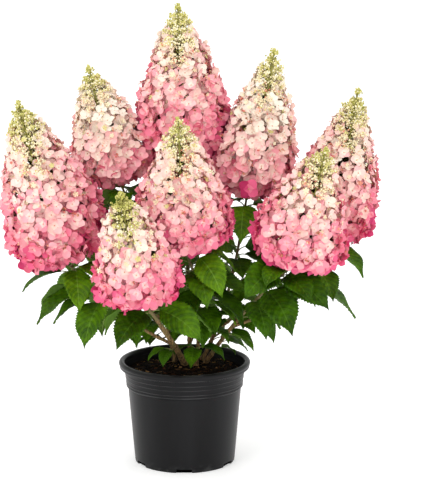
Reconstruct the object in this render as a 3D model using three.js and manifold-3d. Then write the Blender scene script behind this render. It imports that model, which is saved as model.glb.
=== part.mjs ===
// A panicle hydrangea in a black nursery pot. Six stems rise from the potting mix, five boughs branch off them,
// and each of the eleven limbs carries a leafy shoot with one cone-shaped flower head above it.
// Millimetres, +Z up, origin at the centre of the pot's underside. The front of the plant faces -Y.
import * as THREE from 'three';
import { mergeVertices } from 'three/addons/utils/BufferGeometryUtils.js';
import Module from 'manifold-3d';

const wasm = await Module();
wasm.setup();

// The pot is round, with a rolled rim, a stacking band under it, and drainage notches in its foot.
const POT_HEIGHT = 165;
const RIM_RADIUS = 105;
const RIM_WIDTH = 8;
const RIM_DEPTH = 11;
const BAND_TOP_RADIUS = 96.5;
const BAND_FOOT_RADIUS = 92.5;
const BAND_FOOT_Z = 124;
const WALL_TOP_RADIUS = 90.5;
const FOOT_RADIUS = 80;
const FOOT_CHAMFER = 3;
const WALL = 2.5;
const FLOOR = 6;
const NOTCH_COUNT = 6;
const NOTCH_WIDTH = 25;
const NOTCH_HEIGHT = 5;
const NOTCH_DEPTH = 12;
const POT_SIDES = 32;

// Touching pieces keep this much air between them.
const AIR = 0.3;
const DEGREE = Math.PI / 180;

// The potting mix fills the pot to a low mound.
const MIX_EDGE_Z = 148;
const MIX_TOP_Z = 153;
const MIX_TOP_RADIUS = 52;

// Limbs: radius at the foot, at the end under the flower head, and the swelling of a foot in the mix.
// LIMB_STEP is the spacing of the points that stand for a limb when leaves are kept clear of it.
const STEM_RADIUS = 4.2;
const BOUGH_RADIUS = 3.3;
const TIP_RADIUS = 2.2;
const ROOT_FLARE = 1.2;
const FLARE_SHARE = 0.08;
const LIMB_SIDES = 6;
const LIMB_SECTIONS = 7;
const SHOOT_SECTIONS = 4;
const LIMB_STEP = 8;

// Flower heads: a bare stalk below, then a cone that is widest at WIDEST of its length from the tip.
const STALK = 9;
const WIDEST = 0.82;
const HEAD_CLOSE = 1.045;
const CORE_SHARE = 0.74;
const CORE_SIDES = 7;
const CORE_RINGS = [1, 0.84, 0.66, 0.5, 0.36];
const SPIRE_RINGS = [0.3, 0.26, 0.22, 0.18, 0.145, 0.11, 0.08, 0.05, 0.02];
const SPIRE_SHARES = [0.74, 1.02];
const FLORET_SHARE = 800;
const FLORET_RADIUS = 20;
const PETAL_NOTCH = 0.74;
const GOLDEN_ANGLE = Math.PI * (3 - Math.sqrt(5));

// Leaves: full length of a blade, its widest half as a share of that, its stalk, its thickness, and how far
// it droops from the end of its stalk to its tip.
const LEAF_LENGTH = 90;
const LEAF_HALF_WIDTH = 0.29;
const LEAF_THICKNESS = 0.016;
const LEAF_FOLD = 14 * DEGREE;
const LEAF_BEND = 49 * DEGREE;
const LEAF_SECTIONS = [0.12, 0.38, 0.64, 0.85];
const LEAF_STALK = 20;
const STALK_RADIUS = 1.1;
const STALK_RISE = 0.35;

// Leaf pairs on a shoot, from the top down: the first small and close under the head, the next ones larger.
const LEAF_PAIRS = 4;
const LEAF_SPACING = 44;
const TOP_PAIR_BELOW = 10;
const TOP_LEAF_SIZE = 0.74;
const LEAF_GROWTH = 0.16;

// Low shoots: how far their leaves turn from the shoot's heading, and the size of twig and leaf stalk.
const LOW_LEAF_TURNS = [0, 105, -105];
const LOW_STALK = 12;
const TWIG_RADIUS = 1.5;

// What a leaf keeps clear of, and the changes that it tries until it is free.
const LEAF_CLEARANCE = 10;
const OWN_LEAF_CLEARANCE = 5;
const LIMB_CLEARANCE = 6;
const OWN_LIMB_CLEARANCE = 1;
const HEAD_CLEARANCE = 5;
const OWN_HEAD_CLEARANCE = -5;
const RIM_CLEARANCE = 8;
const MIX_CLEARANCE = 5;
const LEAF_SIZES = [1, 0.85, 0.7];
const LEAF_LIFTS = [0, 16, -14];
const LEAF_SWINGS = [0, 8, -8, 16, -16, 28, -28, 42, -42];
const SAMPLE_SHARES = [0.08, 0.22, 0.36, 0.5, 0.64, 0.78, 0.9, 1];
const SAMPLE_SIDES = [-1, -0.5, 0, 0.5, 1];

// The flowering canes. base and tip are the ends of the flower head, radius is its widest, and the limb
// bends at its elbow. foot is where a stem leaves the mix; from and at say which limb a bough branches off,
// and how far along. leafy is where the leafy shoot starts, and turn the heading of its top leaf pair.
const CANES = [
  { name: 'front_left', base: [-59, -165, 300], tip: [-92, -190, 470], radius: 69, foot: [1, 14],
    elbow: [-42, -100, 262], swell: 1.5, leafy: 0.6, turn: 255 },
  { name: 'front', base: [3, -85, 366], tip: [-7, -105, 570], radius: 77, foot: [18, 12],
    elbow: [34, -35, 285], swell: 1, leafy: 0.4, turn: 160 },
  { name: 'front_right', base: [167, -90, 343], tip: [217, -115, 525], radius: 75, foot: [33, 22],
    elbow: [88, -45, 256], swell: 1.1, leafy: 0.48, turn: 240 },
  { name: 'top', base: [0, 60, 476], tip: [-10, 77, 726], radius: 80, foot: [8, 38],
    elbow: [7, 40, 280], swell: 1.1, leafy: 0.42, turn: 20 },
  { name: 'upper_left', base: [-101, 48, 443], tip: [-153, 73, 627], radius: 67, foot: [-16, 30],
    elbow: [-40, 25, 290], swell: 1, leafy: 0.42, turn: 250 },
  { name: 'upper_right', base: [100, 35, 427], tip: [143, 55, 657], radius: 69, foot: [27, 42],
    elbow: [73, 27, 238], swell: 1, leafy: 0.42, turn: 290 },
  { name: 'left', base: [-184, -20, 334], tip: [-256, -40, 586], radius: 82, from: 'front_left', at: 0.22,
    elbow: [-117, -40, 246], swell: 1, leafy: 0.4, turn: 265 },
  { name: 'right', base: [226, 42, 356], tip: [276, 52, 594], radius: 72, from: 'front_right', at: 0.36,
    elbow: [200, -5, 262], swell: 1, leafy: 0.5, turn: 20 },
  { name: 'back', base: [0, 190, 321], tip: [-7, 215, 512], radius: 58, from: 'top', at: 0.2,
    elbow: [3, 110, 260], swell: 0.9, leafy: 0.42, turn: 90 },
  { name: 'back_left', base: [-175, 150, 321], tip: [-225, 185, 491], radius: 52, from: 'upper_left', at: 0.25,
    elbow: [-115, 85, 255], swell: 0.9, leafy: 0.42, turn: 120 },
  { name: 'back_right', base: [190, 165, 309], tip: [226, 200, 489], radius: 58, from: 'upper_right', at: 0.25,
    elbow: [130, 95, 250], swell: 0.9, leafy: 0.42, turn: 60 },
];

// The leaves that face the front: their cane, how far along it they grow, then heading, pitch and roll in
// degrees, length of blade and length of stalk.
const FRONT_LEAVES = [
  ['front_left', 0.7, 236, -4, -20, 90, 20],
  ['front_left', 0.77, 328, -4, 45, 89, 16],
  ['front', 0.42, 291, -1, 5, 71, 15],
  ['front', 0.59, 57, -8, 60, 69, 16],
  ['front', 0.65, 110, -29, 5, 66, 23],
  ['front', 0.92, 103, -20, 20, 61, 21],
  ['front', 0.9, 305, -16, 35, 84, 28],
  ['front_right', 0.5, 335, -30, 20, 62, 18],
  ['front_right', 0.71, 130, -13, -60, 76, 18],
  ['front_right', 0.72, 296, -9, 25, 102, 17],
  ['front_right', 0.84, 324, 0, 40, 96, 18],
  ['front_right', 0.93, 233, 4, -40, 91, 20],
  ['upper_left', 0.93, 122, -16, 35, 70, 30],
  ['upper_left', 0.9, 72, -5, -20, 76, 18],
  ['upper_right', 0.70, 278, 7, 0, 67, 18],
  ['upper_right', 0.75, 43, -6, 60, 76, 18],
  ['upper_right', 0.77, 234, 28, -55, 72, 19],
  ['upper_right', 0.96, 265, -14, -5, 82, 26],
  ['upper_right', 0.93, 62, -8, 50, 66, 36],
  ['left', 0.49, 115, -34, -5, 79, 25],
  ['left', 0.55, 174, -12, -15, 76, 34],
  ['left', 0.58, 247, -23, 0, 89, 26],
  ['left', 0.69, 208, -5, 0, 97, 22],
  ['left', 0.84, 165, -5, -10, 80, 36],
  ['left', 0.92, 278, -20, -5, 81, 17],
  ['right', 0.93, 324, -16, 0, 71, 27],
  ['top', 0.3, 250, -10, -35, 66, 18],
  ['top', 0.45, 300, -5, 40, 70, 18],
  ['top', 0.56, 235, -5, -40, 70, 18],
  ['upper_right', 0.4, 300, -5, 30, 66, 18],
  ['upper_right', 0.56, 240, -5, -40, 66, 18],
  ['upper_left', 0.5, 290, -10, 20, 66, 18],
  ['upper_left', 0.68, 240, -5, -30, 70, 18],
];

// Short leafy shoots low on the stems. heading is where the shoot leans, in degrees, rise its height.
const LOW_SHOOTS = [
  { name: 'front', from: 'front', at: 0.1, heading: 262, reach: 26, rise: 9, leaf: 0.5 },
  { name: 'front_left', from: 'front_left', at: 0.2, heading: 250, reach: 14, rise: -4, leaf: 0.42 },
  { name: 'front_right', from: 'front_right', at: 0.1, heading: 290, reach: 18, rise: 8, leaf: 0.42 },
  { name: 'left', from: 'upper_left', at: 0.3, heading: 228, reach: 22, rise: -2, leaf: 0.62 },
  { name: 'right', from: 'upper_right', at: 0.3, heading: 318, reach: 24, rise: 14, leaf: 0.58 },
  { name: 'back_left', from: 'upper_left', at: 0.12, heading: 150, reach: 34, rise: 34, leaf: 0.7 },
  { name: 'back_right', from: 'top', at: 0.1, heading: 60, reach: 34, rise: 30, leaf: 0.7 },
  { name: 'middle', from: 'top', at: 0.16, heading: 275, reach: 20, rise: 12, leaf: 0.52 },
  { name: 'far_left', from: 'upper_left', at: 0.16, heading: 235, reach: 26, rise: -2, leaf: 0.5 },
  { name: 'far_right', from: 'upper_right', at: 0.2, heading: 335, reach: 20, rise: 14, leaf: 0.6 },
];

const COLOURS = {
  pot: { color: 0x26282a, roughness: 0.45, metalness: 0 },
  mix: { color: 0x2b1c12, roughness: 1, metalness: 0 },
  bark: { color: 0x7a5534, roughness: 0.85, metalness: 0 },
  leaf: { color: 0x2f6a1e, roughness: 0.55, metalness: 0 },
  flower: { color: 0xf2a3b3, roughness: 0.6, metalness: 0 },
};

const UP = new THREE.Vector3(0, 0, 1);
const vector = ([x, y, z]) => new THREE.Vector3(x, y, z);

// Repeatable random numbers from 0 to 1, by a linear congruential generator.
function seededRandom(seed) {
  let state = seed * 7919 + 12345;
  return () => {
    state = (state * 1664525 + 1013904223) % 4294967296;
    return state / 4294967296;
  };
}

function solidOf(points, triangles) {
  const mesh = new wasm.Mesh({
    numProp: 3,
    vertProperties: new Float32Array(points.flatMap((p) => [p.x, p.y, p.z])),
    triVerts: new Uint32Array(triangles.flat()),
  });
  return new wasm.Manifold(mesh);
}

function solidOfGeometry(geometry) {
  geometry.deleteAttribute('normal');
  geometry.deleteAttribute('uv');
  const merged = mergeVertices(geometry, 1e-3);
  const mesh = new wasm.Mesh({
    numProp: 3,
    vertProperties: merged.attributes.position.array,
    triVerts: new Uint32Array(merged.index.array),
  });
  return new wasm.Manifold(mesh);
}

// A closed skin over rings that follow each other, each ring counter-clockwise as seen from ahead of it.
// The last ring ends in a flat cap, or in a point if one is given.
function loft(rings, point = null) {
  const sides = rings[0].length;
  const points = rings.flat();
  const triangles = [];
  for (let k = 1; k < sides - 1; k += 1) triangles.push([0, k + 1, k]);
  for (let ring = 0; ring < rings.length - 1; ring += 1) {
    for (let k = 0; k < sides; k += 1) {
      const near = ring * sides;
      const far = near + sides;
      const next = (k + 1) % sides;
      triangles.push([near + k, near + next, far + next], [near + k, far + next, far + k]);
    }
  }
  const last = (rings.length - 1) * sides;
  if (point) {
    points.push(point);
    for (let k = 0; k < sides; k += 1) triangles.push([last + k, last + ((k + 1) % sides), points.length - 1]);
  } else {
    for (let k = 1; k < sides - 1; k += 1) triangles.push([last, last + k, last + k + 1]);
  }
  return solidOf(points, triangles);
}

// The largest of a solid's pieces; crumbs that a union leaves loose are dropped.
function onePiece(solid) {
  return solid.decompose().reduce((most, next) => (next.volume() > most.volume() ? next : most));
}

function meshOf(name, solid, material) {
  const { vertProperties, triVerts } = onePiece(solid).getMesh();
  const geometry = new THREE.BufferGeometry();
  geometry.setAttribute('position', new THREE.BufferAttribute(new Float32Array(vertProperties), 3));
  geometry.setIndex(new THREE.BufferAttribute(new Uint32Array(triVerts), 1));
  geometry.computeVertexNormals();
  const mesh = new THREE.Mesh(geometry, material);
  mesh.name = name;
  return mesh;
}

// Turns a profile of [radius, height] points about the pot's axis.
function turned(profile) {
  const lathe = new THREE.LatheGeometry(profile.map(([r, z]) => new THREE.Vector2(r, z)), POT_SIDES);
  return solidOfGeometry(lathe.rotateX(Math.PI / 2));
}

// Inner radius of the pot at a height. Its wall is plain up to the band, which widens to the rim.
const BAND_INNER_TOP = [RIM_RADIUS - RIM_WIDTH - 1.5, POT_HEIGHT - RIM_DEPTH - 2];
function innerRadius(z) {
  const wallTop = WALL_TOP_RADIUS - WALL;
  if (z <= BAND_FOOT_Z) return THREE.MathUtils.lerp(FOOT_RADIUS - WALL, wallTop, z / BAND_FOOT_Z);
  return THREE.MathUtils.mapLinear(z, BAND_FOOT_Z, BAND_INNER_TOP[1], wallTop, BAND_INNER_TOP[0]);
}

function makePot() {
  const rimFoot = POT_HEIGHT - RIM_DEPTH;
  const rimMiddle = RIM_RADIUS - RIM_WIDTH / 2;
  let pot = turned([
    [0, 0], [FOOT_RADIUS - FOOT_CHAMFER, 0], [FOOT_RADIUS, FOOT_CHAMFER], [WALL_TOP_RADIUS, BAND_FOOT_Z - 2],
    [BAND_FOOT_RADIUS, BAND_FOOT_Z], [BAND_TOP_RADIUS, rimFoot - 2], [RIM_RADIUS - 2, rimFoot],
    [RIM_RADIUS, rimFoot + 4], [RIM_RADIUS, POT_HEIGHT - 2.5], [rimMiddle, POT_HEIGHT],
    [RIM_RADIUS - RIM_WIDTH, POT_HEIGHT - 3], BAND_INNER_TOP,
    [innerRadius(BAND_FOOT_Z), BAND_FOOT_Z], [innerRadius(FLOOR), FLOOR], [0, FLOOR],
  ]);
  for (let k = 0; k < NOTCH_COUNT; k += 1) {
    const box = new THREE.BoxGeometry(NOTCH_WIDTH, NOTCH_DEPTH, 2 * NOTCH_HEIGHT);
    box.translate(0, -FOOT_RADIUS, 0).rotateZ((2 * Math.PI * k) / NOTCH_COUNT);
    pot = pot.subtract(solidOfGeometry(box));
  }
  return pot;
}

function makeMix() {
  return turned([
    [0, FLOOR + AIR], [innerRadius(FLOOR) - AIR, FLOOR + AIR], [innerRadius(BAND_FOOT_Z) - AIR, BAND_FOOT_Z],
    [innerRadius(MIX_EDGE_Z) - AIR, MIX_EDGE_Z], [MIX_TOP_RADIUS, MIX_TOP_Z], [0, MIX_TOP_Z],
  ]);
}

// The line that each limb and its leafy shoot follow, from the foot to the flower head's stalk.
function caneLine(cane, canes) {
  const base = vector(cane.base);
  const axis = vector(cane.tip).sub(base).normalize();
  const end = base.clone().addScaledVector(axis, -STALK);
  const start = cane.from
    ? canes.get(cane.from).line.getPoint(cane.at)
    : new THREE.Vector3(cane.foot[0], cane.foot[1], MIX_TOP_Z + AIR);
  const line = new THREE.QuadraticBezierCurve3(start, vector(cane.elbow), end);
  const reach = line.getLength();
  const thick = (cane.from ? BOUGH_RADIUS : STEM_RADIUS) * cane.swell;
  return { ...cane, base, axis, line, reach, thick, length: base.distanceTo(vector(cane.tip)) };
}

// Radius of a limb at a share of its line. A foot in the mix swells out.
function limbRadius(cane, share) {
  const flare = cane.from ? 0 : Math.max(0, 1 - share / FLARE_SHARE) ** 2 * (ROOT_FLARE - 1);
  return THREE.MathUtils.lerp(cane.thick, TIP_RADIUS, share ** 0.8) * (1 + flare);
}

// A tapering tube along part of a line, with flat ends that can face their own way.
function tube(line, from, to, sections, radiusAt, firstAhead = null, lastAhead = null) {
  const rings = [];
  let across = new THREE.Vector3(1, 0, 0);
  for (let i = 0; i <= sections; i += 1) {
    const share = THREE.MathUtils.lerp(from, to, i / sections);
    const ahead = (i === 0 && firstAhead) || (i === sections && lastAhead) || line.getTangent(share);
    across = across.clone().addScaledVector(ahead, -across.dot(ahead)).normalize();
    const beside = new THREE.Vector3().crossVectors(ahead, across);
    rings.push(ring(line.getPoint(share), across, beside, radiusAt(share), LIMB_SIDES));
  }
  return loft(rings);
}

function ring(centre, across, beside, radius, sides) {
  return Array.from({ length: sides }, (_, k) => {
    const angle = (2 * Math.PI * k) / sides;
    return centre.clone()
      .addScaledVector(across, radius * Math.cos(angle))
      .addScaledVector(beside, radius * Math.sin(angle));
  });
}

// The bare part of a cane. A bough is cut clear of the stem that it branches off.
function makeLimb(cane, canes) {
  const end = cane.leafy - AIR / cane.reach / 2;
  const limb = tube(cane.line, 0, end, LIMB_SECTIONS, (share) => limbRadius(cane, share), cane.from ? null : UP);
  return cane.from ? limb.subtract(clearOf(canes.get(cane.from))) : limb;
}

// A stem or bough, swollen by the air that a branch keeps from it.
function clearOf(cane) {
  return tube(cane.line, 0, cane.leafy, LIMB_SECTIONS, (share) => limbRadius(cane, share) + AIR);
}

// Half the width of a leaf at a share of its length, 1 at its widest.
function leafOutline(share) {
  const rise = 0.65;
  const fall = 1.05;
  const widest = rise / (rise + fall);
  return (share ** rise * (1 - share) ** fall) / (widest ** rise * (1 - widest) ** fall);
}

// The middle, the sideways and upward directions and the half width of a leaf's blade at a share of its length.
// A blade leaves its stalk at one pitch and droops evenly to another.
function leafSection(leaf, share) {
  const bend = leaf.droop - leaf.pitch;
  const angle = leaf.pitch + bend * share;
  const along = (leaf.length * (Math.sin(angle) - Math.sin(leaf.pitch))) / bend;
  const rise = (-leaf.length * (Math.cos(angle) - Math.cos(leaf.pitch))) / bend;
  const heading = new THREE.Vector3(Math.cos(leaf.heading), Math.sin(leaf.heading), 0);
  const middle = leaf.start.clone().addScaledVector(heading, along).addScaledVector(UP, rise);
  const flat = new THREE.Vector3(-heading.y, heading.x, 0);
  const upright = heading.clone().multiplyScalar(-Math.sin(angle)).addScaledVector(UP, Math.cos(angle));
  const side = flat.clone().multiplyScalar(Math.cos(leaf.roll)).addScaledVector(upright, Math.sin(leaf.roll));
  const face = upright.clone().multiplyScalar(Math.cos(leaf.roll)).addScaledVector(flat, -Math.sin(leaf.roll));
  return { middle, side, face, half: leaf.length * LEAF_HALF_WIDTH * leafOutline(share) };
}

// A spread of points over a leaf and one on its stalk, for keeping it clear of everything else.
function leafPoints(leaf) {
  const blade = SAMPLE_SHARES.flatMap((share) => {
    const { middle, side, face, half } = leafSection(leaf, share);
    return SAMPLE_SIDES.map((across) => middle.clone()
      .addScaledVector(side, across * half * Math.cos(LEAF_FOLD))
      .addScaledVector(face, Math.abs(across) * half * Math.sin(LEAF_FOLD)));
  });
  return [leaf.root.clone().lerp(leaf.start, 0.75), ...blade];
}

// One leaf as a closed skin of four-sided rings: its stalk, then the blade, folded up along the midrib.
function makeLeaf(leaf) {
  const { side: across, face: beside } = leafSection(leaf, 0);
  const rings = [leaf.root, leaf.start].map((middle) => ring(middle, across, beside, STALK_RADIUS, 4));
  for (const share of LEAF_SECTIONS) {
    const { middle, side, face, half } = leafSection(leaf, share);
    const thick = (leaf.length * LEAF_THICKNESS) / 2;
    const edge = (sign) => middle.clone()
      .addScaledVector(side, sign * half * Math.cos(LEAF_FOLD))
      .addScaledVector(face, half * Math.sin(LEAF_FOLD));
    rings.push([
      edge(1), middle.clone().addScaledVector(face, thick),
      edge(-1), middle.clone().addScaledVector(face, -thick),
    ]);
  }
  return loft(rings, leafSection(leaf, 1).middle);
}

// Radius of a flower head at a share of its length from the tip, 1 at its widest.
function headOutline(share) {
  if (share < WIDEST) return Math.sin((Math.PI * Math.max(share, 0)) / (2 * WIDEST));
  return Math.sqrt(Math.max(0, 1 - ((share - WIDEST) / (HEAD_CLOSE - WIDEST)) ** 2));
}

function insideHead(point, cane, margin) {
  const tip = cane.base.clone().addScaledVector(cane.axis, cane.length);
  const fromTip = point.clone().sub(tip);
  const down = -fromTip.dot(cane.axis);
  if (down < -margin || down > cane.length * HEAD_CLOSE + margin) return false;
  const out = fromTip.addScaledVector(cane.axis, down).length();
  return out < headOutline(down / cane.length) * cane.radius + margin;
}

// The height that a leaf stays above at a distance from the pot's axis.
function lowestLeaf(out) {
  if (out < RIM_RADIUS - RIM_WIDTH - RIM_CLEARANCE) return MIX_TOP_Z + MIX_CLEARANCE;
  return out < RIM_RADIUS + RIM_CLEARANCE ? POT_HEIGHT + MIX_CLEARANCE : 0;
}

// True if a leaf keeps clear of the pot, the flower heads, the other limbs and the leaves before it.
function leafIsFree(points, own, canes, limbPoints, taken) {
  return points.every((p) => {
    if (p.z < lowestLeaf(Math.hypot(p.x, p.y))) return false;
    for (const cane of canes.values()) {
      if (insideHead(p, cane, cane.name === own ? OWN_HEAD_CLEARANCE : HEAD_CLEARANCE)) return false;
    }
    for (const limb of limbPoints) {
      const clearance = limb.cane === own ? OWN_LIMB_CLEARANCE : LIMB_CLEARANCE;
      if (p.distanceTo(limb.point) < limb.radius + clearance) return false;
    }
    return taken.every(({ cane, point }) => (
      p.distanceTo(point) >= (cane === own ? OWN_LEAF_CLEARANCE : LEAF_CLEARANCE)
    ));
  });
}

// Points along every limb and shoot, with the limb's radius there.
function pointsOnLimbs(canes) {
  return [...canes.values()].flatMap((cane) => {
    const steps = Math.ceil(cane.reach / LIMB_STEP);
    return Array.from({ length: steps + 1 }, (_, i) => ({
      cane: cane.name,
      point: cane.line.getPoint(i / steps),
      radius: limbRadius(cane, i / steps),
    }));
  });
}

// A leaf as first drawn, then turned, lifted and shortened in a fixed order until it is free.
function settleLeaf(drawn, own, canes, limbPoints, taken) {
  for (const size of LEAF_SIZES) {
    for (const lift of LEAF_LIFTS) {
      for (const swing of LEAF_SWINGS) {
        const leaf = { ...drawn, length: drawn.length * size, heading: drawn.heading + swing * DEGREE };
        leaf.droop += lift * DEGREE;
        leaf.start = leafStart(leaf);
        const points = leafPoints(leaf);
        if (leafIsFree(points, own, canes, limbPoints, taken)) {
          taken.push(...points.map((point) => ({ cane: own, point })));
          return leaf;
        }
      }
    }
  }
  return null;
}

// Where the blade starts, at the end of a stalk that rises from the shoot.
function leafStart(leaf) {
  const run = leaf.stalk * Math.cos(STALK_RISE);
  return new THREE.Vector3(
    Math.cos(leaf.heading) * run, Math.sin(leaf.heading) * run, leaf.stalk * Math.sin(STALK_RISE),
  ).add(leaf.root);
}

// The front leaves of one cane, as listed.
function frontLeaves(own, canes, limbPoints, taken) {
  return FRONT_LEAVES.filter(([name]) => name === own.name).map(([, at, heading, pitch, roll, length, stalk]) => {
    const drawn = {
      root: own.line.getPoint(at), heading: heading * DEGREE, pitch: pitch * DEGREE,
      droop: pitch * DEGREE - LEAF_BEND, roll: roll * DEGREE, length, stalk,
    };
    return settleLeaf(drawn, own.name, canes, limbPoints, taken);
  });
}

// The leaves of one shoot in opposite pairs, each pair a quarter turn from the one above it.
function shootLeaves(cane, seed, canes, limbPoints, taken) {
  const random = seededRandom(seed);
  const spread = (degrees) => degrees * (random() - 0.5);
  const leaves = [];
  for (let pair = 0; pair < LEAF_PAIRS; pair += 1) {
    const share = 1 - (TOP_PAIR_BELOW + pair * LEAF_SPACING) / cane.reach;
    const grown = Math.min(1, TOP_LEAF_SIZE + LEAF_GROWTH * pair);
    for (const half of [0, 180]) {
      const drawn = {
        root: cane.line.getPoint(share),
        heading: (cane.turn + 90 * pair + half + spread(24)) * DEGREE,
        pitch: (8 - 10 * pair + spread(24)) * DEGREE,
        droop: (-68 + spread(26)) * DEGREE,
        roll: spread(30) * DEGREE,
        length: LEAF_LENGTH * grown * (0.86 + 0.28 * random()),
        stalk: LEAF_STALK,
      };
      if (share > cane.leafy + 0.02) leaves.push(settleLeaf(drawn, cane.name, canes, limbPoints, taken));
    }
  }
  return leaves;
}

// The upper part of a cane with its leaves grown into it.
function makeShoot(cane) {
  const start = cane.leafy + AIR / cane.reach / 2;
  let shoot = tube(cane.line, start, 1, SHOOT_SECTIONS, (share) => limbRadius(cane, share), null, cane.axis);
  for (const leaf of cane.leaves) shoot = shoot.add(makeLeaf(leaf));
  return shoot;
}

// A short side shoot with a pair of leaves and one at its end, cut clear of the stem that it grows on.
function makeLowShoot(shoot, seed, canes, limbPoints, taken) {
  const random = seededRandom(seed);
  const spread = (degrees) => degrees * (random() - 0.5);
  const root = canes.get(shoot.from).line.getPoint(shoot.at);
  const lean = new THREE.Vector3(Math.cos(shoot.heading * DEGREE), Math.sin(shoot.heading * DEGREE), 0);
  const end = root.clone().addScaledVector(lean, shoot.reach).addScaledVector(UP, shoot.rise);
  const line = new THREE.LineCurve3(root, end);
  let solid = tube(line, 0, 1, 2, () => TWIG_RADIUS);
  for (const turn of LOW_LEAF_TURNS) {
    const drawn = {
      root: line.getPoint(turn ? 0.85 : 0.98),
      heading: (shoot.heading + turn + spread(20)) * DEGREE,
      pitch: spread(20) * DEGREE,
      droop: (-64 + spread(20)) * DEGREE,
      roll: spread(24) * DEGREE,
      length: LEAF_LENGTH * shoot.leaf * (0.9 + 0.2 * random()),
      stalk: LOW_STALK,
    };
    const leaf = settleLeaf(drawn, shoot.from, canes, limbPoints, taken);
    if (leaf) solid = solid.add(makeLeaf(leaf));
  }
  return solid.subtract(clearOf(canes.get(shoot.from)));
}

// The axes across a flower head.
function headFrame(cane) {
  const across = new THREE.Vector3(0, -1, 0).projectOnPlane(cane.axis).normalize();
  return { across, beside: new THREE.Vector3().crossVectors(cane.axis, across) };
}

// The inner body of a flower head: its stalk, the close florets behind the open ones, and the budded tip.
function headCore(cane, frame) {
  const tip = cane.base.clone().addScaledVector(cane.axis, cane.length);
  const at = (down) => tip.clone().addScaledVector(cane.axis, -down);
  const rings = [STALK - AIR, -2].map((below) => (
    ring(at(cane.length + below), frame.across, frame.beside, TIP_RADIUS, CORE_SIDES)
  ));
  [...CORE_RINGS, ...SPIRE_RINGS].forEach((share, i) => {
    const full = share > SPIRE_RINGS[0] ? CORE_SHARE : SPIRE_SHARES[i % 2];
    const turn = frame.across.clone().applyAxisAngle(cane.axis, (i * Math.PI) / CORE_SIDES);
    const beside = new THREE.Vector3().crossVectors(cane.axis, turn);
    rings.push(ring(at(share * cane.length), turn, beside, cane.radius * headOutline(share) * full, CORE_SIDES));
  });
  return loft(rings, tip);
}

// One open floret of four petals. Its stalk is a four-sided spike that runs down into the core at depth.
function makeFloret(centre, normal, radius, spin, depth) {
  const across = new THREE.Vector3(normal.y, -normal.x, 0.2).projectOnPlane(normal).normalize();
  across.applyAxisAngle(normal, spin);
  const beside = new THREE.Vector3().crossVectors(normal, across);
  const points = [];
  for (let k = 0; k < 8; k += 1) {
    const petalTip = k % 2 === 0;
    const out = radius * (petalTip ? 1 : PETAL_NOTCH);
    const angle = (Math.PI * k) / 4;
    points.push(centre.clone()
      .addScaledVector(across, out * Math.cos(angle))
      .addScaledVector(beside, out * Math.sin(angle))
      .addScaledVector(normal, petalTip ? 0 : -1));
  }
  points.push(centre.clone().addScaledVector(normal, 2), depth);
  const [crown, spike] = [8, 9];
  const triangles = [];
  for (let k = 0; k < 8; k += 1) triangles.push([crown, k, (k + 1) % 8]);
  for (let k = 0; k < 8; k += 2) {
    const before = (k + 7) % 8;
    triangles.push([k + 1, k, before], [spike, k + 1, before]);
  }
  return { solid: solidOf(points, triangles), edge: points.slice(0, 8) };
}

// A flower head: florets wound round the core at the golden angle, larger towards the bottom.
// A floret that would touch another head or a leaf is left out.
function makeHead(cane, seed, canes, shoots) {
  const random = seededRandom(seed);
  const frame = headFrame(cane);
  const tip = cane.base.clone().addScaledVector(cane.axis, cane.length);
  const others = [...canes.values()].filter((other) => other !== cane);
  let head = headCore(cane, frame);
  const florets = Math.round((cane.length * cane.radius) / FLORET_SHARE);
  for (let i = 0; i < florets; i += 1) {
    const share = 0.26 + 0.72 * ((i + 0.5) / florets) ** 0.72;
    const outward = frame.across.clone().applyAxisAngle(cane.axis, i * GOLDEN_ANGLE + seed);
    const slope = ((headOutline(share + 0.02) - headOutline(share - 0.02)) * cane.radius) / (0.04 * cane.length);
    const normal = outward.clone().addScaledVector(cane.axis, Math.max(slope, -1.2)).normalize();
    normal.addScaledVector(cane.axis, 0.3 * (random() - 0.5)).normalize();
    const radius = FLORET_RADIUS * Math.min(1, 0.5 + 0.75 * share) * Math.sqrt(cane.radius / 70);
    const out = headOutline(share) * cane.radius - 3 - 4 * random();
    const middle = tip.clone().addScaledVector(cane.axis, -share * cane.length);
    const centre = middle.clone().addScaledVector(outward, out);
    const depth = middle.clone().addScaledVector(outward, out * CORE_SHARE * 0.6);
    const floret = makeFloret(centre, normal, radius, random() * Math.PI, depth);
    const free = floret.edge.every((p) => others.every((other) => !insideHead(p, other, 1)))
      && shoots.every((shoot) => floret.solid.intersect(shoot).isEmpty());
    if (free) head = head.add(floret.solid);
  }
  return head;
}

const materials = Object.fromEntries(
  Object.entries(COLOURS).map(([name, look]) => [name, new THREE.MeshStandardMaterial(look)]),
);
const plant = new THREE.Group();
plant.add(meshOf('pot', makePot(), materials.pot), meshOf('potting_mix', makeMix(), materials.mix));

const canes = new Map();
for (const cane of CANES) canes.set(cane.name, caneLine(cane, canes));
const limbPoints = pointsOnLimbs(canes);
const taken = [];

for (const cane of canes.values()) cane.leaves = frontLeaves(cane, canes, limbPoints, taken);
[...canes.values()].forEach((cane, index) => {
  cane.leaves.push(...shootLeaves(cane, index + 1, canes, limbPoints, taken));
  cane.leaves = cane.leaves.filter(Boolean);
  cane.shoot = makeShoot(cane);
});

const shoots = [...canes.values()].map((cane) => cane.shoot);
[...canes.values()].forEach((cane, index) => {
  const limbName = `${cane.from ? 'bough' : 'stem'}_${cane.name}`;
  plant.add(
    meshOf(limbName, makeLimb(cane, canes), materials.bark),
    meshOf(`leaves_${cane.name}`, cane.shoot, materials.leaf),
    meshOf(`flower_head_${cane.name}`, makeHead(cane, index + 1, canes, shoots), materials.flower),
  );
});

LOW_SHOOTS.forEach((shoot, index) => {
  const solid = makeLowShoot(shoot, index + 51, canes, limbPoints, taken);
  plant.add(meshOf(`low_leaves_${shoot.name}`, solid, materials.leaf));
});

export default plant;
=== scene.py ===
import math

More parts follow.
